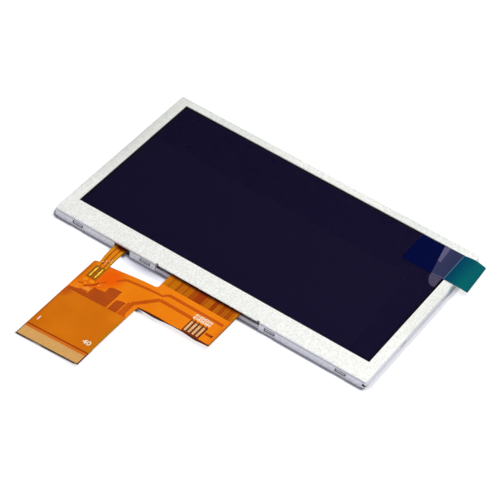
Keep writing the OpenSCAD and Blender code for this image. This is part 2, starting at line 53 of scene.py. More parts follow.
# Main flex: thickness, heights at the root and at the tail, outline
FLEX_T, EXIT_Z, LOW_Z = 0.12, 1.96, 0.26
ROOT_X0, ROOT_X1, ROOT_Y = -12.15, 11.5, -30.95
ARM_Y1, ARM_Y0, ARM_SLANT = -40.6, -50.4, 0.8
INNER_R, OUTER_R, CORNER_R = 0.9, 0.9, 0.3
CONTACTS, CONTACT_PITCH = 40, 0.5
TAIL_X0, TAIL_END_Y, TAIL_RISE = -32.7, -79.3, 1.29
TAIL_W = (CONTACTS + 1) * CONTACT_PITCH
TAIL_TILT = math.asin(TAIL_RISE / TAIL_W)
TAIL_X1 = TAIL_X0 + TAIL_W * math.cos(TAIL_TILT)
PAD_X0, PAD_PITCH = 2.87, 1.3

# Stretches over which it sinks along X, sags along Y and twists into the tail
LEVEL_X0, SINK_X0, SAG_REACH = ROOT_X0 - 0.2, TAIL_X0 - 0.3, 18.0
SAG_Y1, SAG_Y0 = ARM_Y1 + 0.6, ARM_Y1 - 11.4
TWIST_Y1, TWIST_Y0 = ARM_Y1 - 3.4, TAIL_END_Y + 11.3

# Backlight flex: its strip in the housing, and its lead down onto the arm
STRIP_T, STRIP_Z, STRIP_HL, STRIP_Y0, STRIP_Y1 = 0.1, 0.95, 49.75, -31.4, -28.35
LEAD_X0, LEAD_W, LEAD_Y0, LEAD_GAP = -31.3, 3.8, -48.4, 0.01
LEAD_X1 = LEAD_X0 + LEAD_W
LEAD_DROP_Y, LEAD_DROP_LEN = -33.8, 8.0

# Film and pull tab
FILM_X1, FILM_Y0, FILM_Y1 = 48.65, -25.6, 29.8
FILM_LIFT, PEEL_X, PEEL_SLOPE, PEEL_END_LEN = 0.36, 45.05, 0.186, 4.7
TAB_X0, TAB_X1, TAB_Y0, TAB_Y1, TAB_T = 35.05, 57.2, 17.25, 30.25, 0.08
TAB_REACH, TAB_GAP = 4.45, 0.02
DROOP_NEAR, DROOP_FAR, TAB_CURL = 0.3, 0.9, 1.3


def clamp(t):
    return min(max(t, 0.0), 1.0)


def smooth(t):
    u = clamp(t)
    return u * u * (3 - 2 * u)


def steps(a, b, pitch):
    n = max(1, round((b - a) / pitch))
    return [a + (b - a) * i / n for i in range(n + 1)]


# ---------------------------------------------------------------- bent surfaces
def flex_mid(x, y):
    """Height of the main flex's middle: level at the root, low at the left, twisted at the tail."""
    level_x = LEVEL_X0 + SAG_REACH * smooth((SAG_Y1 - y) / (SAG_Y1 - SAG_Y0))
    arm = LOW_Z + (EXIT_Z - LOW_Z) * smooth((x - SINK_X0) / (level_x - SINK_X0))
    tail = LOW_Z + math.tan(TAIL_TILT) * (x - TAIL_X0)
    w = smooth((TWIST_Y1 - y) / (TWIST_Y1 - TWIST_Y0))
    return arm * (1 - w) + tail * w


def flex_top(x, y):
    return flex_mid(x, y) + FLEX_T / 2


def lead_mid(x, y):
    """Height of the backlight flex's middle: level in the housing, then down onto the arm."""
    w = smooth((LEAD_DROP_Y - y) / LEAD_DROP_LEN)
    return STRIP_Z * (1 - w) + (flex_top(x, y) + LEAD_GAP + STRIP_T / 2) * w


def lead_top(x, y):
    return lead_mid(x, y) + STRIP_T / 2


def peel_start(y):
    """Where the film begins to rise: a straight fold by the tab, curved off to the film's edge."""
    if y > TAB_Y0:
        return PEEL_X - PEEL_SLOPE * (y - TAB_Y0)
    t = min((TAB_Y0 - y) / PEEL_END_LEN, 1.0)
    return FILM_X1 - (FILM_X1 - PEEL_X) * math.sqrt(1 - t * t)


def peel_lift(x, y):
    x0 = peel_start(y)
    return 0.0 if x0 >= FILM_X1 else FILM_LIFT * smooth((x - x0) / (FILM_X1 - x0))


def film_mid(x, y):
    return Z_FILM + FILM_T / 2 + peel_lift(x, y)


def tab_mid(x, y):
    """Height of the tab's middle: on the film, and drooping past the module's end."""
    past_end = max(x - HALF_L, 0) / TAB_REACH
    across = (y - TAB_Y0) / (TAB_Y1 - TAB_Y0)
    droop = DROOP_NEAR + (DROOP_FAR - DROOP_NEAR) * across
    lift = peel_lift(min(x, FILM_X1), min(y, FILM_Y1))
    return Z_BEZEL + lift + TAB_GAP + TAB_T / 2 - droop * past_end ** TAB_CURL


# ---------------------------------------------------------------- mesh code
ARC_STEPS = 8
MERGE_DIST, LEAST_AREA = 1e-5, 1e-9
MITRE_LIMIT = 0.3
SHARP_ANGLE = 35


def arc(cx, cy, r, start, end):
    pts = []
    for i in range(ARC_STEPS + 1):
        a = math.radians(start + (end - start) * i / ARC_STEPS)
        pts.append((cx + r * math.cos(a), cy + r * math.sin(a)))
    return pts


def rect(x0, x1, y0, y1):
    return [(x0, y0), (x1, y0), (x1, y1), (x0, y1)]


def ribbon(path, width):
    """Outline of a strip along a path in plan, with mitred corners."""
    left, right = [], []
    for i, p in enumerate(path):
        p = Vector(p)
        before = (p - Vector(path[i - 1])).normalized() if i else None
        after = (Vector(path[i + 1]) - p).normalized() if i < len(path) - 1 else None
        a, b = before or after, after or before
        side = Vector((-(a + b).y, (a + b).x)).normalized()
        stretch = 1 / max(side.dot(Vector((-a.y, a.x))), MITRE_LIMIT)
        left.append(tuple(p + side * stretch * (width / 2)))
        right.append(tuple(p + side * stretch * (-width / 2)))
    return right + left[::-1]


def plan(loops, xs, ys):
    """A flat triangulated region in plan, cut along grid lines.

    Gives points, faces and zones, where zones[i] is the number of the loop that face i is in.
    """
    bm = bmesh.new()
    mark = bm.faces.layers.int.new("zone")
    for i, loop in enumerate(loops):
        face = bm.faces.new([bm.verts.new((x, y, 0)) for x, y in loop])
        face.normal_update()
        face[mark] = i
    bmesh.ops.triangulate(bm, faces=bm.faces[:])
    cuts = [((x, 0, 0), (1, 0, 0)) for x in xs] + [((0, y, 0), (0, 1, 0)) for y in ys]
    for point, normal in cuts:
        bmesh.ops.bisect_plane(bm, geom=bm.verts[:] + bm.edges[:] + bm.faces[:],
                               dist=MERGE_DIST, plane_co=point, plane_no=normal)
    bmesh.ops.remove_doubles(bm, verts=bm.verts[:], dist=MERGE_DIST)
    for f in bm.faces:
        if f.normal.z < 0:
            f.normal_flip()
    bm.verts.index_update()
    kept = [f for f in bm.faces if f.calc_area() > LEAST_AREA]
    verts = [tuple(v.co.xy) for v in bm.verts]
    faces = [[v.index for v in f.verts] for f in kept]
    zones = [f[mark] for f in kept]
    bm.free()
    return verts, faces, zones


def new_object(name, verts, faces, materials, pick=None, sharp=SHARP_ANGLE):
    """A mesh object from millimetre points.

    pick(i, centre, normal) gives the number of face i's material.
    """
    mesh = bpy.data.meshes.new(name)
    mesh.from_pydata([(x * MM, y * MM, z * MM) for x, y, z in verts], [], faces)
    for m in materials:
        mesh.materials.append(m)
    if pick:
        for p in mesh.polygons:
            p.material_index = pick(p.index, p.center / MM, p.normal)
    mesh.validate()
    mesh.shade_smooth()
    mesh.set_sharp_from_angle(angle=math.radians(sharp))
    obj = bpy.data.objects.new(name, mesh)
    bpy.context.scene.collection.objects.link(obj)
    return obj


def sheet(name, loops, low, high, xs, ys, materials, pick=None, warp=None):
    """A thin solid between two height functions, over the plan that the loops outline.

    xs and ys are the lines it may bend along, warp moves points in plan, and
    pick(centre, normal, zone) gives the number of a face's material.
    """
    flat, faces, zones = plan(loops, xs, ys)
    if warp:
        flat = [warp(x, y) for x, y in flat]
    n = len(flat)
    verts = [(x, y, high(x, y)) for x, y in flat] + [(x, y, low(x, y)) for x, y in flat]
    edges = {}
    for f, zone in zip(faces, zones):
        for a, b in zip(f, f[1:] + f[:1]):
            edges[(a, b)] = zone
    sides = [([b, a, a + n, b + n], zone) for (a, b), zone in edges.items() if (b, a) not in edges]
    solid = faces + [[v + n for v in reversed(f)] for f in faces] + [f for f, _ in sides]
    zones = zones + zones + [zone for _, zone in sides]
    chosen = (lambda i, c, n: pick(c, n, zones[i])) if pick else None
    return new_object(name, verts, solid, materials, chosen)


# ---------------------------------------------------------------- materials
def srgb(r, g, b):
    def linear(v):
        v /= 255
        return v / 12.92 if v <= 0.04045 else ((v + 0.055) / 1.055) ** 2.4
    return (linear(r), linear(g), linear(b), 1)


class Shader:
    """A material or world, and short names for the nodes it is built from."""

    NOISE_ROUGHNESS = 0.55
    SPOT_CORE = 0.6
    MIX_A, MIX_B, MIX_RESULT = 6, 7, 2

    def __init__(self, name, kind="materials"):
        self.owner = getattr(bpy.data, kind).new(name)
        self.owner.use_nodes = True
        self.tree = self.owner.node_tree
        self.tree.nodes.clear()
        self.where = self.add("ShaderNodeTexCoord").outputs["Object"]

    def add(self, kind, **settings):
        node = self.tree.nodes.new(kind)
        for key, value in settings.items():
            setattr(node, key, value)
        return node

    def put(self, socket, value):
        if isinstance(value, bpy.types.NodeSocket):
            self.tree.links.new(value, socket)
        elif value is not None:
            socket.default_value = value

    def scaled(self, x=1.0, y=1.0, z=1.0, turn=0.0):
        m = self.add("ShaderNodeMapping")
        self.put(m.inputs["Vector"], self.where)
        m.inputs["Scale"].default_value = (x, y, z)
        m.inputs["Rotation"].default_value = (0, 0, math.radians(turn))
        return m.outputs["Vector"]

    def noise(self, scale, detail=3.0, at=None):
        n = self.add("ShaderNodeTexNoise")
        self.put(n.inputs["Vector"], at or self.where)
        n.inputs["Scale"].default_value = scale
        n.inputs["Detail"].default_value = detail
        n.inputs["Roughness"].default_value = self.NOISE_ROUGHNESS
        return n.outputs["Fac"]

    def cells(self, scale):
        n = self.add("ShaderNodeTexVoronoi")
        self.put(n.inputs["Vector"], self.where)
        n.inputs["Scale"].default_value = scale
        return n.outputs["Color"]

    def wave(self, scale, at):
        n = self.add("ShaderNodeTexWave")
        self.put(n.inputs["Vector"], at)
        n.inputs["Scale"].default_value = scale
        n.inputs["Detail"].default_value = 0.0
        return n.outputs["Fac"]

    def spread(self, value, lo, hi, a=0.0, b=1.0):
        """Takes a to lo and b to hi, and stays within them."""
        n = self.add("ShaderNodeMapRange")
        self.put(n.inputs["Value"], value)
        for key, v in zip(("From Min", "From Max", "To Min", "To Max"), (a, b, lo, hi)):
            n.inputs[key].default_value = v
        return n.outputs["Result"]

    def mix(self, a, b, fac, kind="MIX"):
        n = self.add("ShaderNodeMix", data_type="RGBA", blend_type=kind)
        self.put(n.inputs["Factor"], fac)
        self.put(n.inputs[self.MIX_A], a)
        self.put(n.inputs[self.MIX_B], b)
        return n.outputs[self.MIX_RESULT]

    def math(self, kind, a, b=None):
        n = self.add("ShaderNodeMath", operation=kind)
        self.put(n.inputs[0], a)
        if b is not None:
            self.put(n.inputs[1], b)
        return n.outputs[0]

    def spot(self, x, y, rx, ry):
        """One at a point in plan (mm), falling to zero on an ellipse round it."""
        m = self.add("ShaderNodeMapping")
        self.put(m.inputs["Vector"], self.where)
        m.inputs["Scale"].default_value = (1 / (rx * MM), 1 / (ry * MM), 0)
        m.inputs["Location"].default_value = (-x / rx, -y / ry, 0)
        g = self.add("ShaderNodeTexGradient", gradient_type="SPHERICAL")
        self.put(g.inputs["Vector"], m.outputs["Vector"])
        return g.outputs["Fac"]

    def tinted(self, colour, tints, kind="MIX"):
        """Soft patches of other tones: (x, y, radius in X, radius in Y, tone, share)."""
        for x, y, rx, ry, tint, most in tints:
            share = self.spread(self.spot(x, y, rx, ry), 0.0, most, 0.0, self.SPOT_CORE)
            colour = self.mix(colour, tint, share, kind)
        return colour

    def axis(self, name):
        """One coordinate, in metres."""
        n = self.add("ShaderNodeSeparateXYZ")
        self.put(n.inputs[0], self.where)
        return n.outputs[name]

    def band(self, value, edges):
        """One between the middle two of four values (mm), falling to zero at the outer two."""
        a, b, c, d = (v * MM for v in edges)
        return self.math("MINIMUM", self.spread(value, 0.0, 1.0, a, b),
                         self.spread(value, 1.0, 0.0, c, d))

    def before(self, name, start, end, most=1.0):
        """The share most up to start (mm) on an axis, falling to zero at end."""
        return self.spread(self.axis(name), most, 0.0, start * MM, end * MM)

    def after(self, name, start, end, most=1.0):
        """Zero up to start (mm) on an axis, rising to the share most at end."""
        return self.spread(self.axis(name), 0.0, most, start * MM, end * MM)

    def bump(self, height, strength, distance, below=None):
        n = self.add("ShaderNodeBump")
        n.inputs["Strength"].default_value = strength
        n.inputs["Distance"].default_value = distance * MM
        self.put(n.inputs["Height"], height)
        self.put(n.inputs["Normal"], below)
        return n.outputs["Normal"]

    def surface(self, colour, rough, metal=0.0, normal=None, gloss=0.5, alpha=1.0, through=None):
        """through is the tint of what shows through, and the share that doesn't."""
        p = self.add("ShaderNodeBsdfPrincipled")
        for key, value in (("Base Color", colour), ("Roughness", rough), ("Metallic", metal),
                           ("Normal", normal), ("Specular IOR Level", gloss), ("Alpha", alpha)):
            self.put(p.inputs[key], value)
        shader = p.outputs[0]
        if through:
            clear = self.add("ShaderNodeBsdfTransparent")
            clear.inputs[0].default_value = through[0]
            blend = self.add("ShaderNodeMixShader")
            blend.inputs[0].default_value = through[1]
            self.put(blend.inputs[1], clear.outputs[0])
            self.put(blend.inputs[2], shader)
            shader = blend.outputs[0]
        return self.finish(shader)

    def seen(self):
        """One where the camera or a mirror sees the surface, zero where it only gives light."""
        path = self.add("ShaderNodeLightPath")
        share = path.outputs["Is Camera Ray"]
        for ray in ("Is Glossy Ray", "Is Transmission Ray"):
            share = self.math("MAXIMUM", share, path.outputs[ray])
        return share

    def finish(self, shader, output="ShaderNodeOutputMaterial"):
        self.put(self.add(output).inputs["Surface"], shader)
        return self.owner


# Scales of the patterns: how many times they repeat in a metre, roughly
CLOUDS, MOULD_FLOW, MOULD_GRAIN = 170, 420, 6000
FILM_SLOW, FILM_FINE, COPPER_SLOW, INK_WEAR = 90, 1600, 240, 3500
PLATING = (3000, 500, 3000)
POLARIZER_HAZE, PEEL_SHEEN, PEEL_WAVES, TAB_SOFT = 25, 300, 60, 150
HATCH_SCALE, HATCH_TURN = 442.11, 25  # lines 0.71 mm apart
# Heights of the painted shade line along the front wall's bend, its share at most, and how far
# behind the wall's face it fades
BEND_SHADE_EDGES, BEND_SHADE_MOST, BEND_SHADE_FADE = (1.8, 2.2, 2.45, 2.7), 0.9, (0.05, 0.25)
# Painted shade in gaps: how far apart their walls stand, how open they are where they are painted
# darkest and where they are left light, and the stretch at the right-hand side over which that
# stops
GAP_REACH, GAP_OPEN, GAP_SIDE = 0.9, (0.35, 0.65), (1.0, 0.7)


def galvanised(name, pale, deep, metal, spangle=2600, tints=(), fold=None):
    """Zinc-coated sheet: a fine faint spangle over slow clouds of tone.

    fold is the painted shade along the bend of the front wall.
    """
    s = Shader(name)
    grain = s.cells(spangle)
    flecks = s.noise(spangle * 0.8, 1.0)
    clouds = s.noise(CLOUDS, 2.0)
    tone = s.mix(grain, flecks, 0.5)
    colour = s.mix(deep, pale, s.spread(tone, 0.0, 1.0, 0.37, 0.61))
    colour = s.mix(colour, deep, s.spread(clouds, 0.0, 0.35, 0.45, 0.75))
    colour = s.tinted(colour, tints, "MULTIPLY")
    # Painted shade along the bend of the front wall
    if fold:
        line = s.band(s.axis("Z"), BEND_SHADE_EDGES)
        front = s.before("Y", BEND_SHADE_FADE[0] - HALF_W, BEND_SHADE_FADE[1] - HALF_W, BEND_SHADE_MOST)
        colour = s.mix(colour, fold, s.math("MULTIPLY", line, front))
    return s.surface(colour, s.spread(tone, 0.4, 0.5, 0.25, 0.75), metal,
                     s.bump(tone, 0.2, 0.01))


def moulded(name, colour, shade, rough=0.45, tints=(), gap_shade=None):
    """Smooth plastic; the last argument gives the painted shade it takes in narrow gaps, save at
    the right-hand side.
    """
    s = Shader(name)
    soft = s.noise(MOULD_FLOW)
    tone = s.mix(shade, colour, s.spread(soft, 0.0, 1.0, 0.35, 0.6))
    # Painted shade in narrow gaps, from how open the surface is
    if gap_shade:
        gaps = s.add("ShaderNodeAmbientOcclusion", samples=8)
        gaps.inputs["Distance"].default_value = GAP_REACH * MM
        side = s.after("X", HALF_L - GAP_SIDE[0], HALF_L - GAP_SIDE[1])
        is_open = s.spread(gaps.outputs["AO"], 0.0, 1.0, *GAP_OPEN)
        tone = s.mix(gap_shade, tone, s.math("MAXIMUM", side, is_open))
    return s.surface(s.tinted(tone, tints),
                     s.spread(soft, rough - 0.06, rough + 0.08, 0.3, 0.7), 0.0,
                     s.bump(s.noise(MOULD_GRAIN, 2.0), 0.2, 0.008))


def polyimide(name, pale, deep, gloss=0.04, rough=0.34, tints=()):
    """Amber film over copper, with slow changes of tone."""
    s = Shader(name)
    slow = s.noise(FILM_SLOW, 2.0)
    fine = s.noise(FILM_FINE)
    colour = s.mix(deep, pale, s.spread(slow, 0.0, 1.0, 0.3, 0.7))
    colour = s.mix(colour, deep, s.spread(fine, 0.0, 0.3, 0.4, 0.8))
    colour = s.tinted(colour, tints)
    normal = s.bump(slow, 0.35, 0.12, s.bump(fine, 0.15, 0.01))
    roughness = s.spread(fine, rough - 0.05, rough + 0.08, 0.3, 0.7)
    return s.surface(colour, roughness, 0.0, normal, gloss)


def hatched(name, pale, deep):
    """Copper laid as a fine slanting grid under the film."""
    s = Shader(name)
    lines = s.wave(HATCH_SCALE, s.scaled(turn=HATCH_TURN))
    slow = s.noise(COPPER_SLOW, 2.0)
    colour = s.mix(deep, pale, s.spread(s.mix(lines, slow, 0.5), 0.0, 1.0, 0.3, 0.7))
    return s.surface(colour, 0.4, 0.0, s.bump(slow, 0.3, 0.06), 0.04)


def printed(name, colour, shade):
    """White ink, a little worn."""
    s = Shader(name)
    worn = s.noise(INK_WEAR, 2.0)
    return s.surface(s.mix(shade, colour, s.spread(worn, 0.0, 1.0, 0.3, 0.5)), 0.5, 0.0,
                     s.bump(worn, 0.3, 0.01))


def plated(name, pale, deep, metal, rough):
    """Plated or soldered metal, streaked along Y."""
    s = Shader(name)
    streaks = s.noise(1.0, at=s.scaled(*PLATING))
    return s.surface(s.mix(deep, pale, s.spread(streaks, 0.0, 1.0, 0.35, 0.65)),
                     s.spread(streaks, rough - 0.08, rough + 0.1, 0.3, 0.7), metal,
                     s.bump(streaks, 0.25, 0.01))


def screen_material():
    s = Shader("polarizer_black")
    haze = s.noise(POLARIZER_HAZE, 2.0)
    return s.surface(s.mix(srgb(6, 4, 12), srgb(9, 7, 18), haze), s.spread(haze, 0.1, 0.16), 0.0,
                     None, 0.03)


def film_material(name, near, far, gloss, alpha):
    """Clear film with a violet cast; its growth from the left to the right is a painted reflection.
    """
    s = Shader(name)
    colour = s.mix(near, far, s.after("X", -49, 49))
    return s.surface(colour, s.spread(s.noise(PEEL_SHEEN, 2.0), 0.1, 0.16), 0.0,
                     s.bump(s.noise(PEEL_WAVES, 2.0), 0.1, 0.02), gloss, alpha)


def tab_material(name, left, right, x0, x1, tint, body):
    """Coloured film whose tone changes from x0 to x1; body is the share it scatters itself."""
    s = Shader(name)
    soft = s.noise(TAB_SOFT, 2.0)
    colour = s.mix(left, right, s.after("X", x0, x1))
    colour = s.mix(colour, left, s.spread(soft, 0.0, 0.2, 0.4, 0.7))
    return s.surface(colour, s.spread(soft, 0.22, 0.3), 0.0, s.bump(soft, 0.15, 0.05), 0.02,
                     through=(tint, body))


# Tints are (x, y, radius in X, radius in Y, tone, share)
SHADE = moulded("deep_shade", srgb(30, 24, 34), srgb(20, 14, 22))
STEEL_TONES = ((-56, 12, 9, 44, srgb(223, 224, 223), 0.9),
               (-32, 37, 28, 9, srgb(234, 238, 234), 0.85),
               (34, 37, 20, 9, srgb(235, 239, 237), 0.85),
               (56, 6, 9, 24, srgb(236, 237, 235), 0.8))
# Painted shade and teal reflection of the tab on the right wall below it
PAINTED_TAB_SHADE = (53.5, 16.3, 1.5, 3.2, srgb(112, 147, 164), 1.0)
STEEL = galvanised("galvanised_bezel", srgb(255, 255, 252), srgb(234, 236, 230), 0.15,
                   tints=STEEL_TONES + (PAINTED_TAB_SHADE,), fold=srgb(196, 197, 202))

# Painted shade: the hollows behind the corner holes and the lead's notch take hardly any light, so
# the plastic and the cover are painted dark there
PAINTED_SHADE_TONE = srgb(16, 10, 18)
PAINTED_CORNER_SHADE = tuple((x, y, 2.6, 1.6, PAINTED_SHADE_TONE, 1.0)
                       for x in (-HALF_L, HALF_L) for y in (-HALF_W, HALF_W))
PAINTED_NOTCH_SHADE = ((-27.1, -HALF_W, 1.6, 1.2, PAINTED_SHADE_TONE, 1.0), (-31.8, -HALF_W, 1.0, 1.2, PAINTED_SHADE_TONE, 1.0))
PAINTED_HOLLOW_SHADE = PAINTED_CORNER_SHADE + PAINTED_NOTCH_SHADE
WHITE = moulded("white_plastic", srgb(222, 216, 220), srgb(204, 198, 204), tints=PAINTED_HOLLOW_SHADE,
                gap_shade=srgb(34, 26, 34))
COVER = galvanised("galvanised_cover", srgb(228, 230, 232), srgb(196, 199, 202), 0.6,
                   spangle=1100, tints=PAINTED_HOLLOW_SHADE)

# Film on the arm is redder in front of the lead's landing and browner at the edges, with a painted
# shadow of the lead where it crosses the arm's back edge
ARM_TONES_AND_SHADOW = ((-24.8, -45.0, 5.0, 5.5, srgb(254, 98, 0), 0.95),
             (-27.5, -49.5, 5.5, 4.0, srgb(246, 104, 6), 0.8),
             (-32.8, -46.0, 1.6, 9.0, srgb(196, 96, 4), 0.8),
             (11.6, -46.0, 2.2, 9.0, srgb(214, 106, 20), 0.35),
             (-29.0, -40.6, 5.0, 1.8, srgb(206, 84, 4), 0.8))
TAIL_TONES = ((-13.0, -56.5, 5.0, 5.0, srgb(250, 138, 16), 0.3),
              (-32.6, -56.6, 3.2, 4.0, srgb(200, 84, 18), 0.8),
              (-12.4, -66.0, 1.4, 16.0, srgb(204, 124, 8), 0.9),
              (-33.0, -66.0, 1.2, 16.0, srgb(184, 96, 8), 0.9))
ORANGE = polyimide("orange_cover_film", srgb(255, 142, 18), srgb(250, 130, 10), tints=ARM_TONES_AND_SHADOW)
# Painted shade: a darker copy of the film for the flexes' cut sides and the tail's dark rim; it
# also colours a dark spot on the lead
SHADE_FILM = polyimide("flex_painted_shade", srgb(90, 30, 6), srgb(60, 18, 4), 0.1, 0.5)
TAIL = polyimide("tail_cover_film", srgb(230, 126, 12), srgb(218, 114, 6), tints=TAIL_TONES)
COVER_END = polyimide("cover_film_end", srgb(178, 66, 10), srgb(158, 54, 6))
COPPER = polyimide("copper_under_film", srgb(216, 96, 14), srgb(204, 86, 10))
DEEP_COPPER = hatched("dense_copper_under_film", srgb(202, 90, 24), srgb(168, 64, 8))
# Painted light of the creases: a highlight, a golden glint and shade
CREASE = polyimide("crease_painted_highlight", srgb(255, 156, 56), srgb(248, 140, 34), 0.15)
CREASE_GLINT = polyimide("crease_painted_glint", srgb(255, 170, 14), srgb(238, 142, 6), 0.1)
CREASE_SHADE = polyimide("crease_shade", srgb(196, 78, 12), srgb(168, 60, 6))
EDGE_SHADE = polyimide("film_edge_painted_shade", srgb(158, 92, 20), srgb(140, 76, 12))

# Both flexes carry a painted shadow where they leave the housing
ROOT_SHADE = ((0, -33.1, 34.0, 1.7, srgb(64, 12, 14), 0.9),)
ROOT_FILM = polyimide("bare_root_film", srgb(216, 130, 4), srgb(202, 114, 2), tints=ROOT_SHADE)
ROOT_COPPER = polyimide("root_copper", srgb(168, 60, 3), srgb(152, 48, 2), tints=ROOT_SHADE)
BARE = polyimide("bare_film", srgb(230, 126, 34), srgb(214, 106, 24))
LEAD_SHADE = ((-29.0, -33.2, 3.2, 1.5, srgb(96, 22, 0), 0.95),)
AMBER = polyimide("amber_film", srgb(240, 156, 10), srgb(220, 128, 4), 0.08, 0.3, LEAD_SHADE)
AMBER_LINE = polyimide("copper_under_amber_film", srgb(176, 88, 4), srgb(146, 66, 0), 0.08, 0.3,
                       LEAD_SHADE)
AMBER_BAND = polyimide("bright_amber_film", srgb(250, 140, 26), srgb(236, 118, 18), 0.08, 0.3,
                       LEAD_SHADE)
UMBER = polyimide("brown_stiffener", srgb(120, 62, 24), srgb(96, 46, 16), 0.3, 0.45)
SURROUND = polyimide("pad_surround", srgb(136, 50, 12), srgb(106, 34, 6), 0.05, 0.4)
MARK = polyimide("small_mark", srgb(196, 78, 12), srgb(160, 54, 6), 0.05, 0.4)
FRONT_EDGE_SHADOW = polyimide("flex_front_edge_painted_shadow", srgb(112, 44, 10), srgb(84, 28, 4), 0.05, 0.4)
INK = printed("white_ink", srgb(255, 246, 226), srgb(240, 210, 168))
GOLD = plated("gold_plate", srgb(222, 186, 112), srgb(212, 176, 102), 0.4, 0.42)
PAD_GOLD = plated("pad_gold", srgb(234, 192, 134), srgb(206, 160, 98), 0.25, 0.45)
SOLDER = plated("solder", srgb(255, 214, 50), srgb(226, 160, 14), 0.5, 0.25)
LANDING = polyimide("landing_film", srgb(178, 108, 6), srgb(138, 78, 2), 0.08, 0.4)
SCREEN = screen_material()
FILM = film_material("peel_film", srgb(38, 30, 76), srgb(44, 36, 82), 0.02, 0.3)
# The lifted film is painted pale: a painted reflection from the air gap under it
LIFTED_REFLECTION_TONE = srgb(98, 90, 124)
FILM_UP = film_material("peel_film_lifted", LIFTED_REFLECTION_TONE, LIFTED_REFLECTION_TONE, 0.15, 0.45)

# The tab: over the screen, over the lifted film, painted pale there as a painted reflection, its
# painted shine and painted edge highlight, and its free end
SHINE_TONE, EDGE_HIGHLIGHT_TONE = srgb(112, 106, 146), srgb(84, 126, 146)
LIFTED_TINT = (0.1, 0.2, 0.2, 1)
TAB = tab_material("teal_tab", srgb(1, 12, 78), srgb(1, 14, 76), 35, 45, (0.0, 0.1, 0.12, 1), 0.6)
TAB_UP = tab_material("teal_tab_lifted", srgb(72, 72, 112), srgb(58, 66, 106), 43, 48,
                      LIFTED_TINT, 0.7)
TAB_SHINE = tab_material("teal_tab_shine", SHINE_TONE, SHINE_TONE, 43, 48, LIFTED_TINT, 0.8)
TAB_EDGE_HIGHLIGHT = tab_material("teal_tab_edge_highlight", EDGE_HIGHLIGHT_TONE, EDGE_HIGHLIGHT_TONE, 48, 49, (0.1, 0.3, 0.3, 1), 0.8)
TAB_OUT = tab_material("teal_tab_free", srgb(0, 76, 112), srgb(0, 118, 120), 49.5, 54.5,
                       (0.0, 0.06, 0.07, 1), 0.75)


def dress(node, material):
    obj = nodes[node]
    obj.data.materials.clear()
    obj.data.materials.append(material)


dress("front_bezel", STEEL)
dress("rear_cover", COVER)
dress("mould_frame", WHITE)
dress("reflector_sheet",
      moulded("reflector_white", srgb(248, 248, 250), srgb(236, 236, 240), 0.25))
dress("light_guide", moulded("acrylic", srgb(228, 240, 242), srgb(214, 230, 233), 0.15))
dress("diffuser_sheet", moulded("diffuser", srgb(240, 240, 240), srgb(228, 228, 230)))
for sheet_node in ("lower_prism_sheet", "upper_prism_sheet"):
    dress(sheet_node, moulded(sheet_node, srgb(226, 228, 236), srgb(208, 210, 222), 0.25))
dress("rim_tape", moulded("black_tape", srgb(30, 30, 32), srgb(20, 20, 22), 0.5))
dress("rear_polarizer", SCREEN)
dress("front_polarizer", SCREEN)
for glass_node in ("tft_glass", "colour_filter_glass"):
    dress(glass_node, moulded(glass_node + "_dark", srgb(44, 52, 56), srgb(30, 36, 42), 0.12))
dress("driver_chip", moulded("silicon", srgb(54, 56, 62), srgb(38, 40, 46), 0.2))
dress("leds", moulded("diode_white", srgb(238, 232, 196), srgb(226, 216, 170)))
dress("flex_stiffener", UMBER)
dress("contact_fingers", GOLD)
dress("test_pads", PAD_GOLD)

# ---------------------------------------------------------------- main flex
flex_outline = (
    [(ROOT_X1, ROOT_Y), (ROOT_X0, ROOT_Y)]
    + arc(ROOT_X0 - INNER_R, ARM_Y1 + INNER_R, INNER_R, 0, -90)
    + arc(TAIL_X0 + OUTER_R, ARM_Y1 - ARM_SLANT - OUTER_R, OUTER_R, 90, 180)
    + arc(TAIL_X0 + CORNER_R, TAIL_END_Y + CORNER_R, CORNER_R, 180, 270)
    + arc(TAIL_X1 - CORNER_R, TAIL_END_Y + CORNER_R, CORNER_R, 270, 360)
    + arc(TAIL_X1 + INNER_R, ARM_Y0 - INNER_R, INNER_R, 180, 90)
    + arc(ROOT_X1 - CORNER_R, ARM_Y0 + CORNER_R, CORNER_R, -90, 0)
)
# Where the flex changes: bare root, arm, tail, end of the cover film, contacts
ROOT_FILM_Y, TAIL_TOP_Y, COVER_END_Y, BARE_END_Y = -38.3, -55.6, -74.4, -75.5
# Where the arm's front edge begins to turn down, and over what length
EDGE_TURN, EDGE_TURN_LEN = 0.3, 0.25
# Fine grid lines where the flex bends, wide ones where it is flat
CELL, WIDE_CELL = 0.5, 2.0
FLEX_XS = steps(TAIL_X0 - CELL, ROOT_X1 + CELL, CELL)
FLEX_YS = (steps(TAIL_END_Y, BARE_END_Y, WIDE_CELL) + [COVER_END_Y]
           + steps(COVER_END_Y, TAIL_TOP_Y, WIDE_CELL) + [ARM_Y0 + EDGE_TURN]
           + steps(TAIL_TOP_Y, ROOT_FILM_Y, CELL) + steps(ROOT_FILM_Y, ROOT_Y, CELL))

# The arm's front edge is turned down, more at some places than at others: (x, drop)
EDGE_DROPS = [(-12.4, 0.0), (-11.0, 0.05), (-9.0, 0.25), (-7.0, 0.45), (-5.0, 0.4), (-3.0, 0.15),
              (-1.0, 0.0), (3.0, 0.05), (5.0, 0.3), (7.0, 0.55), (9.0, 0.3), (11.5, 0.15)]


def edge_drop(x):
    for (x0, d0), (x1, d1) in zip(EDGE_DROPS, EDGE_DROPS[1:]):
        if x0 <= x <= x1:
            return d0 + (d1 - d0) * (x - x0) / (x1 - x0)
    return 0.0


def flex_low(x, y):
    turned = smooth((ARM_Y0 + EDGE_TURN - y) / EDGE_TURN_LEN)
    return flex_mid(x, y) - FLEX_T / 2 - edge_drop(x) * turned


FLEX_MATERIALS = [ORANGE, ROOT_FILM, TAIL, SHADE_FILM, BARE]


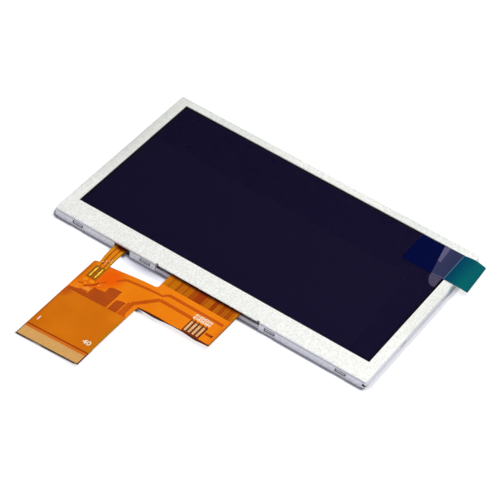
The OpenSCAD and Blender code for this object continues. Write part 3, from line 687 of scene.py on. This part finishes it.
def is_side(normal):
    return abs(normal.z) < 0.5


def flex_pick(c, n, _):
    # The cut sides take the darker copy of the film, a painted shade
    if is_side(n):
        return FLEX_MATERIALS.index(SHADE_FILM)
    if c.y > ROOT_FILM_Y:
        return FLEX_MATERIALS.index(ROOT_FILM)
    if c.y < COVER_END_Y:
        return FLEX_MATERIALS.index(BARE)
    return FLEX_MATERIALS.index(TAIL if c.y < TAIL_TOP_Y else ORANGE)


main_flex = sheet("main_flex_film", [flex_outline], flex_low, flex_top, FLEX_XS, FLEX_YS,
                  FLEX_MATERIALS, flex_pick)
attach(main_flex, "root")
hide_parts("main_flex")


def over(surface, lift):
    return lambda x, y: surface(x, y) + lift


# How far thin layers stand above the surface they are on, so that each covers the one below
TINT_T, LINE_T, COPPER_T, MARK_T, LAYER_T, PROUD_T = 0.004, 0.006, 0.008, 0.01, 0.012, 0.014
SUNK = 0.004


def decal(name, loops, material, surface=flex_top, lift=LAYER_T,
          cell=CELL, warp=None):
    """A thin layer that follows a bent surface."""
    xs = [x for loop in loops for x, _ in loop]
    ys = [y for loop in loops for _, y in loop]
    obj = sheet(name, loops, over(surface, -SUNK), over(surface, lift),
                steps(min(xs), max(xs), cell)[1:-1], steps(min(ys), max(ys), cell)[1:-1],
                [material], warp=warp)
    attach(obj, "root")
    return obj


def strip_fill(x0, x1, y0, y1, pitch, share):
    """Parallel lines along Y that fill a share of a band."""
    n = max(1, round((x1 - x0) / pitch))
    p = (x1 - x0) / n
    return [rect(x0 + (i + 0.5 - share / 2) * p, x0 + (i + 0.5 + share / 2) * p, y0, y1)
            for i in range(n)]


# Copper that shows through the bare root, in groups of fine lines: (from x, to x, share)
ROOT_LINE_PITCH = 0.25
ROOT_GROUPS = [(-11.1, -10.7, 0.1), (-10.6, -9.7, 0.4), (-9.6, -8.1, 0.12), (-8.0, -7.1, 0.65),
               (-7.0, -5.7, 0.3), (-5.6, -5.0, 0.7), (-4.9, -3.7, 0.35), (-3.6, -1.8, 0.8),
               (-1.8, 0.8, 1.0), (0.9, 1.8, 0.65), (1.9, 3.3, 0.4), (3.4, 4.8, 0.95),
               (4.9, 5.9, 0.45), (6.0, 7.4, 0.75), (7.5, 8.3, 0.5), (8.4, 9.9, 0.7),
               (10.0, 10.5, 0.4)]
root_lines = [loop for x0, x1, share in ROOT_GROUPS
              for loop in strip_fill(x0, x1, ROOT_FILM_Y, ROOT_Y, ROOT_LINE_PITCH, share)]
decal("root_copper_lines", root_lines, ROOT_COPPER, lift=LINE_T)

# Broad traces on the arm, each a bundle of fine lines
TRACE_A = [(10.3, -40.87), (-7.9, -40.87), (-9.1, -42.4), (-20.5, -43.1), (-21.3, -43.5),
           (-22.8, -45.1)]
TRACE_A_WIDE, TRACE_A_NARROW = 1.15, 0.85
TRACE_B = [(2.0, -44.2), (-8.8, -44.2), (-14.5, -50.0), (-14.5, -54.2)]
TRACE_B_W, TRACE_B_WIDE = 1.3, 1.9
TRACE_B_FOOT = [(-15.5, -54.2), (-13.5, -54.2), (-12.9, -55.9), (-15.5, -55.9)]
decal("trace_a", [ribbon(TRACE_A[:2], TRACE_A_WIDE), ribbon(TRACE_A[1:], TRACE_A_NARROW)], COPPER)
decal("trace_b", [ribbon(TRACE_B[:2], TRACE_B_W), ribbon(TRACE_B[1:3], TRACE_B_W),
                  ribbon(TRACE_B[2:], TRACE_B_WIDE), TRACE_B_FOOT], COPPER)

# Dense copper where the arm turns into the tail, with the narrow gaps in it
GROUND_LEFT = [(-32.3, -55.9), (-19.15, -55.9), (-19.15, -47.7), (-22.2, -47.8), (-23.0, -48.4),
               (-23.0, -50.6), (-25.2, -51.0), (-26.3, -50.8), (-26.6, -54.1), (-29.6, -54.2),
               (-32.3, -54.9)]
GROUND_RIGHT = [(-18.6, -55.9), (-15.75, -55.9), (-15.75, -50.8), (-17.2, -50.9),
                (-18.6, -51.4)]
decal("ground_copper", [GROUND_LEFT, GROUND_RIGHT], DEEP_COPPER)
decal("copper_gaps", [rect(-19.15, -18.6, -54.9, -47.9), rect(-15.75, -15.5, -53.6, -49.8)],
      ORANGE, lift=PROUD_T)

# Creases in the film to the left of it, shown by painted light: glints on the golden flats,
# highlights on the facets and shade in the folds
CREASE_GLINTS = [
    [(-31.0, -49.5), (-30.2, -48.9), (-29.4, -49.5), (-29.9, -50.2), (-30.6, -50.3)],
    [(-28.9, -49.0), (-27.8, -48.9), (-27.4, -49.7), (-28.2, -50.2), (-28.9, -49.9)],
    [(-30.2, -51.0), (-29.2, -50.7), (-29.0, -51.3), (-29.9, -51.7)],
]
CREASE_HIGHLIGHTS = [
    [(-28.9, -52.9), (-27.9, -52.0), (-27.0, -51.9), (-26.8, -52.6), (-27.0, -53.4),
     (-27.8, -53.3), (-28.7, -53.5)],
    [(-26.2, -49.0), (-25.6, -49.1), (-25.6, -49.9), (-26.1, -50.0)],
    [(-30.9, -52.9), (-30.3, -52.8), (-30.3, -54.2), (-30.8, -54.1)],
]
CREASE_SHADE_PATHS = [
    ([(-29.2, -52.3), (-27.6, -50.9), (-26.7, -49.7), (-26.2, -48.6)], 0.6),
    ([(-26.0, -48.2), (-24.7, -47.1)], 0.3),
    ([(-29.4, -53.9), (-26.8, -53.75)], 0.4),
    ([(-31.2, -51.9), (-29.7, -51.4)], 0.35),
]
decal("crease_painted_glints", CREASE_GLINTS, CREASE_GLINT)
decal("crease_painted_highlights", CREASE_HIGHLIGHTS, CREASE)
decal("crease_shades", [ribbon(path, width) for path, width in CREASE_SHADE_PATHS], CREASE_SHADE,
      lift=PROUD_T)

# Fine lines under the tail's cover film, one for each contact
TAIL_LINE_W = 0.2
tail_lines = []
for i in range(1, CONTACTS + 1):
    x = TAIL_X0 + i * CONTACT_PITCH * math.cos(TAIL_TILT)
    tail_lines.append(rect(x - TAIL_LINE_W / 2, x + TAIL_LINE_W / 2, COVER_END_Y, TAIL_TOP_Y))
decal("tail_lines", tail_lines, TAIL, lift=COPPER_T, cell=WIDE_CELL)
decal("cover_end", [rect(TAIL_X0 + 0.05, TAIL_X1 - 0.1, COVER_END_Y - 0.1, COVER_END_Y + 0.4)],
      COVER_END, lift=PROUD_T, cell=WIDE_CELL)

# The bare end of the tail has a dark rim: painted shade for the stiffener's edge and its shadow
SIDE_RIM_W, END_RIM_W = 0.22, 0.2
edge_x0, edge_x1 = TAIL_X0 + SIDE_RIM_W, TAIL_X1 - SIDE_RIM_W
decal("tail_rim", [rect(TAIL_X0, edge_x0, TAIL_END_Y, COVER_END_Y),
                   rect(edge_x1, TAIL_X1, TAIL_END_Y, COVER_END_Y),
                   rect(edge_x0, edge_x1, TAIL_END_Y, TAIL_END_Y + END_RIM_W)],
      SHADE_FILM, lift=PROUD_T, cell=WIDE_CELL)

# The arm's front edge carries a painted shadow where it turns down: (x, width of the dark band)
FRONT_XS = (-12.4, -3.0, 3.0, 8.5, ROOT_X1)
FRONT_BAND = ((ROOT_X1, 0.3), (8.5, 0.45), (5.0, 0.4), (2.0, 0.25), (-2.0, 0.2), (-5.0, 0.45),
              (-9.0, 0.5), (-12.4, 0.3))
decal("front_edge", [[(x, ARM_Y0) for x in FRONT_XS] + [(x, ARM_Y0 + w) for x, w in FRONT_BAND]],
      FRONT_EDGE_SHADOW, lift=TINT_T)

# Opening in the cover film round the test pads, a mark beside it, and the right edge in painted
# shade
SURROUND_X, SURROUND_Y1, TOOTH_Y1 = (2.1, 7.7), -44.7, -44.2
teeth = [[(x, SURROUND_Y1), (x - 0.3, TOOTH_Y1), (x + 0.15, TOOTH_Y1), (x + 0.5, SURROUND_Y1)]
         for x in (2.15, 3.3, 4.6, 5.9, 7.1)]
decal("pad_surround", [rect(*SURROUND_X, ARM_Y0 + EDGE_TURN, SURROUND_Y1)] + teeth, SURROUND,
      lift=LINE_T)
decal("small_marks", [rect(8.05, 10.4, -47.2, -46.2)], MARK, lift=LINE_T)
decal("small_mark_end", [rect(9.75, 10.4, -47.1, -46.3)], SURROUND, lift=MARK_T)
decal("right_edge", [rect(ROOT_X1 - 0.28, ROOT_X1, ARM_Y0 + EDGE_TURN, -34.0)], EDGE_SHADE,
      lift=TINT_T)


CAP_SHARE = 0.7
INK_LIFT = 0.02


def digits(name, text, x, y, height, bold=0.03):
    """Plain numbers, centred on a point, printed on the flex."""
    curve = bpy.data.curves.new(name, "FONT")
    curve.body = text
    curve.size = height / CAP_SHARE
    curve.align_x, curve.align_y = "CENTER", "CENTER"
    curve.offset = bold * height
    holder = bpy.data.objects.new(name, curve)
    bpy.context.scene.collection.objects.link(holder)
    mesh = bpy.data.meshes.new_from_object(holder.evaluated_get(
        bpy.context.evaluated_depsgraph_get()))
    bpy.data.objects.remove(holder)
    verts = [(v.co.x + x, v.co.y + y) for v in mesh.vertices]
    faces = [list(p.vertices) for p in mesh.polygons]
    bpy.data.meshes.remove(mesh)

    def turns_left(f):
        return sum((verts[b][0] - verts[a][0]) * (verts[b][1] + verts[a][1])
                   for a, b in zip(f, f[1:] + f[:1])) < 0

    obj = new_object(name, [(a, b, flex_top(a, b) + INK_LIFT) for a, b in verts],
                     [f if turns_left(f) else f[::-1] for f in faces], [INK])
    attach(obj, "root")
    return obj


TAIL_DIGITS_Y = -70.9
digits("digits_first", "1", -31.1, TAIL_DIGITS_Y, 1.7)
digits("digits_last", str(CONTACTS), -15.1, TAIL_DIGITS_Y, 1.75)
LABEL_YS, LABEL_STARTS, LABEL_H, LABEL_BOLD = (-42.25, -43.5), (41, 81), 1.0, 0.05
LABEL_STRETCH, LABEL_SHIFT = 1.08, -0.15
for i in range(4):
    x = PAD_X0 + i * PAD_PITCH * LABEL_STRETCH + LABEL_SHIFT
    for row, y, start in zip(("pad", "pair"), LABEL_YS, LABEL_STARTS):
        digits("digits_%s_%d" % (row, i + 1), str(start + i), x, y, LABEL_H, LABEL_BOLD)

# ---------------------------------------------------------------- housing
BOX_FACES = [[0, 4, 5, 1], [2, 3, 7, 6], [0, 1, 3, 2], [4, 6, 7, 5], [0, 2, 6, 4], [1, 5, 7, 3]]


def block(name, xs, ys, zs, material):
    obj = new_object(name, [(x, y, z) for x in xs for y in ys for z in zs], BOX_FACES, [material])
    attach(obj, "root")
    return obj


# The hole in the front right corner looks larger than it is: its rim is in deep shade, painted by a
# thin dark plate
PLATE_T = 0.012
block("corner_rim_shade", (HALF_L - 1.15, HALF_L - 0.4), (-HALF_W - PLATE_T, -HALF_W + PLATE_T),
      (0.85, 1.7), SHADE)

# The walls in front and at the right reach the surface
FOOT_Z, FOOT_T, WALL_END, CORNER_END = (0.005, 0.25), 0.08, 31.5, 1.4
FRONT_FOOT_Y = (-HALF_W, FOOT_T - HALF_W)
notch_x0 = LEAD_X0 - LEAD_NOTCH_GAP
block("right_wall_foot", (HALF_L - FOOT_T, HALF_L), (-WALL_END, WALL_END), FOOT_Z, STEEL)
for i, xs in enumerate(((-HALF_L + CORNER_END, notch_x0), (notch_x0 + LEAD_NOTCH_L, -FLEX_NOTCH_X),
                        (FLEX_NOTCH_X, HALF_L - CORNER_END))):
    block("front_wall_foot_%d" % (i + 1), xs, FRONT_FOOT_Y, FOOT_Z, STEEL)

# ---------------------------------------------------------------- backlight flex
lead_outline = [(-STRIP_HL, STRIP_Y1), (-STRIP_HL, STRIP_Y0), (LEAD_X0, STRIP_Y0),
                (LEAD_X0, LEAD_Y0), (LEAD_X1, LEAD_Y0), (LEAD_X1, STRIP_Y0),
                (STRIP_HL, STRIP_Y0), (STRIP_HL, STRIP_Y1)]
# How the lead bows sideways, and how wide it lies: (y, shift, width as a share)
LEAD_BOW = [(STRIP_Y0, -0.1, 1.0), (-33.6, -0.15, 1.02), (-36.0, -0.3, 1.02), (-38.5, -0.3, 0.98),
            (-40.8, -0.15, 0.92), (-43.0, 0.0, 0.95), (-49.0, 0.0, 0.95)]
EDGE_TOL = 0.01


def lead_warp(x, y):
    """The lead isn't quite straight: it is moved sideways and narrowed along its length."""
    if y > STRIP_Y0 - EDGE_TOL or not LEAD_X0 - EDGE_TOL < x < LEAD_X1 + EDGE_TOL:
        return x, y
    middle = (LEAD_X0 + LEAD_X1) / 2
    for (y1, s1, w1), (y0, s0, w0) in zip(LEAD_BOW, LEAD_BOW[1:]):
        if y >= y0:
            t = smooth((y1 - y) / (y1 - y0))
            return middle + (x - middle) * (w1 + (w0 - w1) * t) + s1 + (s0 - s1) * t, y
    return x, y


LEAD_CELL, LEAD_FOLDS = 0.4, (1, 1.9, 2.8)
LANDING_Y1 = -43.0
# The lead's cut sides take the painted shade copy of the film
backlight = sheet("backlight_film", [lead_outline], over(lead_mid, -STRIP_T / 2), lead_top,
                  [LEAD_X0 + u for u in LEAD_FOLDS], steps(LEAD_Y0, STRIP_Y0, LEAD_CELL),
                  [AMBER, SHADE_FILM], lambda c, n, _: 1 if is_side(n) else 0, warp=lead_warp)
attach(backlight, "root")
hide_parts("backlight_flex")


def on_lead(name, spans, material, lift=LAYER_T, cell=LEAD_CELL):
    """A layer on the lead; spans are (from x, to x, from y, to y), with x from its left edge."""
    return decal(name, [rect(LEAD_X0 + u, LEAD_X0 + v, y0, y1) for u, v, y0, y1 in spans],
                 material, lead_top, lift, cell, lead_warp)


LINE_YS = (LANDING_Y1, STRIP_Y0 - 0.3)
on_lead("lead_lines", [(u, v) + LINE_YS for u, v in ((0.95, 1.3), (2.35, 2.7), (3.6, 3.8))],
        AMBER_LINE)
on_lead("lead_band", [(1.4, 2.25) + LINE_YS], AMBER_BAND)
# Painted glints where the lead bends, in the white ink's colour
GLINT_W, GLINT_H = 0.32, 0.22
LEAD_GLINTS = ((0.75, -40.9), (1.55, -40.2), (2.3, -39.6), (2.95, -39.0), (1.9, -41.3),
              (3.1, -39.9))
on_lead("lead_painted_glints", [(u, u + GLINT_W, y, y + GLINT_H) for u, y in LEAD_GLINTS], INK,
        PROUD_T)
on_lead("lead_dark_spot", [(1.15, 1.5, -41.6, -41.0)], SHADE_FILM, PROUD_T)
on_lead("lead_landing", [(0.1, LEAD_W - 0.1, LEAD_Y0 + 0.05, LANDING_Y1)], LANDING, cell=CELL)

BEAD_ROWS, BEAD_COLS, BEAD_END_W, BEAD_WOBBLE, BEAD_WAVES = 28, 10, 0.75, 0.12, 9
BEAD_LIFT, BEAD_SUNK = 0.001, 0.01


def bead(name, x, y0, y1, width, height, material):
    """A smooth solder joint: rounded across, tapered at both ends, slightly uneven."""
    verts, faces, rows, cols = [], [], BEAD_ROWS, BEAD_COLS
    for j in range(rows + 1):
        v = j / rows
        y = y0 + (y1 - y0) * v
        end = math.sqrt(max(1 - abs(2 * v - 1) ** 6, 0.0))
        wobble = 1 + BEAD_WOBBLE * math.sin(BEAD_WAVES * v + x)
        half = width / 2 * (BEAD_END_W + (1 - BEAD_END_W) * end) * wobble
        for i in range(cols + 1):
            u = 2 * i / cols - 1
            px = x + u * half
            rise = height * end * math.sqrt(1 - u * u)
            verts.append((px, y, lead_top(px, y) + BEAD_LIFT + rise))
    for j in range(rows):
        for i in range(cols):
            a = j * (cols + 1) + i
            faces.append([a, a + 1, a + cols + 2, a + cols + 1])
    base = len(verts)
    ring = (list(range(cols + 1)) + [(j + 1) * (cols + 1) - 1 for j in range(1, rows + 1)]
            + [rows * (cols + 1) + i for i in range(cols - 1, -1, -1)]
            + [j * (cols + 1) for j in range(rows - 1, 0, -1)])
    for i in ring:
        px, py, _ = verts[i]
        verts.append((px, py, lead_top(px, py) - BEAD_SUNK))
    for k in range(len(ring)):
        m = (k + 1) % len(ring)
        faces.append([ring[m], ring[k], base + k, base + m])
    faces.append([base + k for k in range(len(ring))][::-1])
    obj = new_object(name, verts, faces, [material], sharp=60)
    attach(obj, "root")
    return obj


SOLDER_PITCH, SOLDER_Y, SOLDER_W, SOLDER_H = 1.7, (-48.0, -43.4), 0.5, 0.14
for i, side in enumerate((-1, 1)):
    joint = bead("solder_joint_%d" % (i + 1), LEAD_X0 + LEAD_W / 2 + side * SOLDER_PITCH / 2,
                 *SOLDER_Y, SOLDER_W, SOLDER_H, SOLDER)
    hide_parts("solder_joints")

# ---------------------------------------------------------------- film and tab
FINE, ROWS = 0.3, 1.0
FILM_BEND_X, FILM_BEND_Y, TAB_BEND_X = PEEL_X - 2.6, TAB_Y0 - 5, PEEL_X - 3.2
fold_line = [(peel_start(y), y) for y in steps(TAB_Y0 - PEEL_END_LEN, TAB_Y0, FINE)]
fold_line += [(peel_start(FILM_Y1), FILM_Y1)]
film_flat = [(-FILM_X1, FILM_Y1), (-FILM_X1, FILM_Y0), (FILM_X1, FILM_Y0)] + fold_line
film_raised = [(FILM_X1, FILM_Y1)] + fold_line[::-1]
film = sheet("peel_film_sheet", [film_flat, film_raised],
             over(film_mid, -FILM_T / 2), over(film_mid, FILM_T / 2),
             steps(FILM_BEND_X, FILM_X1, FINE)[:-1], steps(FILM_BEND_Y, FILM_Y1, ROWS)[:-1],
             [FILM, FILM_UP], lambda c, n, zone: zone)
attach(film, "root")
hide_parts("protective_film")

# The tab's zones: stuck, raised, free, painted shine, fold with the same painted shine, and rim
# with a painted edge highlight
NEAR_R, FAR_R, FAR_SLANT, BULGE, BULGE_START = 0.3, 0.45, 0.7, 0.45, 0.75
EDGE_HIGHLIGHT_X, EDGE_HIGHLIGHT_W, FOLD_W = 49.05, 0.25, 0.3
SHINE_TIP, SHINE_W = (44.9, 23.3), 1.9
edge_x1, fold_y = EDGE_HIGHLIGHT_X + EDGE_HIGHLIGHT_W, TAB_Y0 + FOLD_W
fold_near, fold_far = peel_start(TAB_Y0), peel_start(TAB_Y1)
fold_end = (fold_near - PEEL_SLOPE * FOLD_W, fold_y)
fold_by_tip = (peel_start(SHINE_TIP[1]), SHINE_TIP[1])
shine_far = (fold_far + SHINE_W, TAB_Y1)
tab_stuck = [(TAB_X0, TAB_Y1), (TAB_X0, TAB_Y0), (fold_near, TAB_Y0), fold_by_tip,
             (fold_far, TAB_Y1)]
tab_raised = [fold_end, (EDGE_HIGHLIGHT_X, fold_y), (EDGE_HIGHLIGHT_X, TAB_Y1), shine_far, SHINE_TIP, fold_by_tip]
tab_free = ([(edge_x1, TAB_Y1), (edge_x1, TAB_Y0)]
            + arc(TAB_X1 - NEAR_R, TAB_Y0 + NEAR_R, NEAR_R, -90, 0)
            + arc(TAB_X1 - FAR_SLANT - FAR_R, TAB_Y1 + BULGE - FAR_R, FAR_R, 0, 90)
            + [(HALF_L - 0.2, TAB_Y1 + BULGE), (HALF_L - 1.4, TAB_Y1 + BULGE * BULGE_START)])
tab_shine = [(fold_far, TAB_Y1), fold_by_tip, SHINE_TIP, shine_far]
tab_fold = [(fold_near, TAB_Y0), (EDGE_HIGHLIGHT_X, TAB_Y0), (EDGE_HIGHLIGHT_X, fold_y), fold_end]
tab_edge_highlight = rect(EDGE_HIGHLIGHT_X, edge_x1, TAB_Y0, TAB_Y1)
tab = sheet("teal_tab_sheet", [tab_stuck, tab_raised, tab_free, tab_shine, tab_fold, tab_edge_highlight],
            over(tab_mid, -TAB_T / 2), over(tab_mid, TAB_T / 2),
            steps(TAB_BEND_X, TAB_X1, FINE), steps(TAB_Y0, TAB_Y1, ROWS),
            [TAB, TAB_UP, TAB_OUT, TAB_SHINE, TAB_SHINE, TAB_EDGE_HIGHLIGHT], lambda c, n, zone: zone)
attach(tab, "root")
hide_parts("pull_tab")

# ---------------------------------------------------------------- floor, light, camera
# The floor's brightness where nothing is near, and the least it keeps beside the right wall, where
# painted light thins the shadow;
# how far the painted shadow reaches from the object, and how open the floor is where it begins and
# ends
FLOOR_GLOW, RIGHT_GLOW = 0.75, 0.4
SHADOW_REACH, SHADOW_EDGES = 1.4, (0.82, 0.98)
WHITE_LIGHT = (1, 1, 1, 1)
# Painted shadow on the floor under the flex's arch by the front wall: its place and size, tone and
# core
ARCH_SHADOW_SPOT, ARCH_SHADOW_TONE, ARCH_SHADOW_CORE = (-20.5, -34.0, 11.0, 4.0), (0.25, 0.24, 0.36, 1), 0.8
SHADE_DARK, SHADE_PALE = (0.22, 0.22, 0.27, 1), (0.42, 0.42, 0.46, 1)
UNDERSIDE_TONE = (0.68, 0.70, 0.96, 1)
# Where painted light clears the floor's shadow beside the flex's raised edges, leaving it narrow:
# the stretches of X and Y over which that begins, and how far beyond the tail's end it does (mm)
TAIL_SIDE_X, TAIL_SIDE_Y = (-13.4, -12.8), (-52.0, -51.0)
LEFT_SIDE_X, LEFT_SIDE_Y1, LEFT_SIDE_Y0 = (-25.5, -24.0), (-35.6, -35.0), (-79.2, -78.8)
ARM_SIDE_X, ARM_SIDE_Y = (-14.0, -13.4), (-50.9, -50.5)
TAIL_END_GAP, TAIL_END_LIMIT = (0.45, 0.9), (-77.0, -76.0)
FLOOR_HALF, FLOOR_DROP = 3.0, 0.00002


def ground():
    """White where the camera sees it, with a painted shadow under the object's edges that painted
    light keeps narrow in places.
    """
    s = Shader("pale_floor")
    seen = s.seen()
    # Painted shadow, from how open the floor is near the object
    near = s.add("ShaderNodeAmbientOcclusion", samples=12)
    near.inputs["Distance"].default_value = SHADOW_REACH * MM

    # Painted light that keeps the shadow narrow beside the right wall and the flex's raised edges
    right_side = s.after("X", HALF_L - 0.5, HALF_L - 0.1, RIGHT_GLOW)
    by_tail = s.math("MULTIPLY", s.after("X", *TAIL_SIDE_X, FLOOR_GLOW),
                     s.before("Y", *TAIL_SIDE_Y))
    by_left = s.math("MULTIPLY", s.before("X", *LEFT_SIDE_X, FLOOR_GLOW),
                     s.math("MINIMUM", s.before("Y", *LEFT_SIDE_Y1), s.after("Y", *LEFT_SIDE_Y0)))
    by_arm = s.math("MULTIPLY", s.after("X", *ARM_SIDE_X, FLOOR_GLOW), s.before("Y", *ARM_SIDE_Y))
    slope = TAIL_RISE / TAIL_W
    beyond = s.math("SUBTRACT", s.math("MULTIPLY", s.axis("X"), slope), s.axis("Y"))
    edge = (TAIL_END_Y + LOW_Z - slope * TAIL_X0) * MM
    by_end = s.math("MULTIPLY",
                    s.spread(beyond, 0.0, FLOOR_GLOW, *(gap * MM - edge for gap in TAIL_END_GAP)),
                    s.before("Y", *TAIL_END_LIMIT))
    shade = s.spread(near.outputs["AO"], 0.0, FLOOR_GLOW, *SHADOW_EDGES)
    for limit in (right_side, by_tail, by_left, by_end, by_arm):
        shade = s.math("MAXIMUM", shade, limit)

    glow = s.add("ShaderNodeEmission")
    # Lavender painted shadow under the flex's arch
    arch_shadow = s.spread(s.spot(*ARCH_SHADOW_SPOT), 0.0, 1.0, 0.0, ARCH_SHADOW_CORE)
    s.put(glow.inputs["Color"], s.mix(WHITE_LIGHT, ARCH_SHADOW_TONE, arch_shadow))
    s.put(glow.inputs["Strength"], s.math("MULTIPLY", seen, shade))
    matt = s.add("ShaderNodeBsdfDiffuse")
    plain = s.mix(SHADE_DARK, SHADE_PALE, s.spread(shade, 0.0, 1.0, 0.0, 0.5))
    s.put(matt.inputs["Color"], s.mix(UNDERSIDE_TONE, plain, seen))
    both = s.add("ShaderNodeAddShader")
    s.put(both.inputs[0], glow.outputs[0])
    s.put(both.inputs[1], matt.outputs[0])
    return s.finish(both.outputs[0])


mesh = bpy.data.meshes.new("floor")
mesh.from_pydata([(x, y, 0) for x, y in rect(-FLOOR_HALF, FLOOR_HALF, -FLOOR_HALF, FLOOR_HALF)],
                 [], [[0, 1, 2, 3]])
mesh.materials.append(ground())
floor = bpy.data.objects.new("floor", mesh)
floor.location.z = -FLOOR_DROP
bpy.context.scene.collection.objects.link(floor)

# The world is white where the camera or a mirror sees it, and dimmer where it lights the object
WORLD_LIGHT = 0.36
studio = Shader("studio", "worlds")
background = studio.add("ShaderNodeBackground")
studio.put(background.inputs["Color"], WHITE_LIGHT)
studio.put(background.inputs["Strength"], studio.spread(studio.seen(), WORLD_LIGHT, 1.0))
bpy.context.scene.world = studio.finish(background.outputs[0], "ShaderNodeOutputWorld")
LAMP_SIZE = 0.25


def lamp(name, place, power):
    """A round lamp, aimed at the middle of the module."""
    data = bpy.data.lights.new(name, "AREA")
    data.shape = "DISK"
    data.size = LAMP_SIZE
    data.energy = power
    obj = bpy.data.objects.new(name, data)
    obj.location = place
    obj.rotation_euler = (-Vector(place)).to_track_quat("-Z", "Y").to_euler()
    bpy.context.scene.collection.objects.link(obj)


lamp("key", (0.12, -0.12, 0.40), 0.74)
lamp("back", (0.10, 0.30, 0.45), 0.72)

# The camera stands where the object's corners put it
AZ, EL, ROLL = math.radians(23.985), math.radians(42.50), math.radians(12.305)
DISTANCE, TARGET = 705.28, (-1.245, -7.758, 0.0)
FOCAL_PX, FRAME_PX, SENSOR = 2440.85, 500, 36.0
HALF_PIXEL = 0.5 / FRAME_PX
back = Vector((math.sin(AZ) * math.cos(EL), -math.cos(AZ) * math.cos(EL), math.sin(EL)))
right = Vector((math.cos(AZ), math.sin(AZ), 0))
up = back.cross(right)
side = math.cos(ROLL) * right + math.sin(ROLL) * up
top = -math.sin(ROLL) * right + math.cos(ROLL) * up
eye = (Vector(TARGET) + back * DISTANCE) * MM
camera = bpy.data.cameras.new("camera")
camera.sensor_width = SENSOR
camera.lens = FOCAL_PX * SENSOR / FRAME_PX
camera.clip_start, camera.clip_end = 0.01, 20
camera.shift_x, camera.shift_y = -HALF_PIXEL, HALF_PIXEL
holder = bpy.data.objects.new("camera", camera)
holder.matrix_world = Matrix(((side.x, top.x, back.x, eye.x), (side.y, top.y, back.y, eye.y),
                              (side.z, top.z, back.z, eye.z), (0, 0, 0, 1)))
bpy.context.scene.collection.objects.link(holder)
bpy.context.scene.camera = holder
bpy.context.scene.view_settings.view_transform = "Standard"
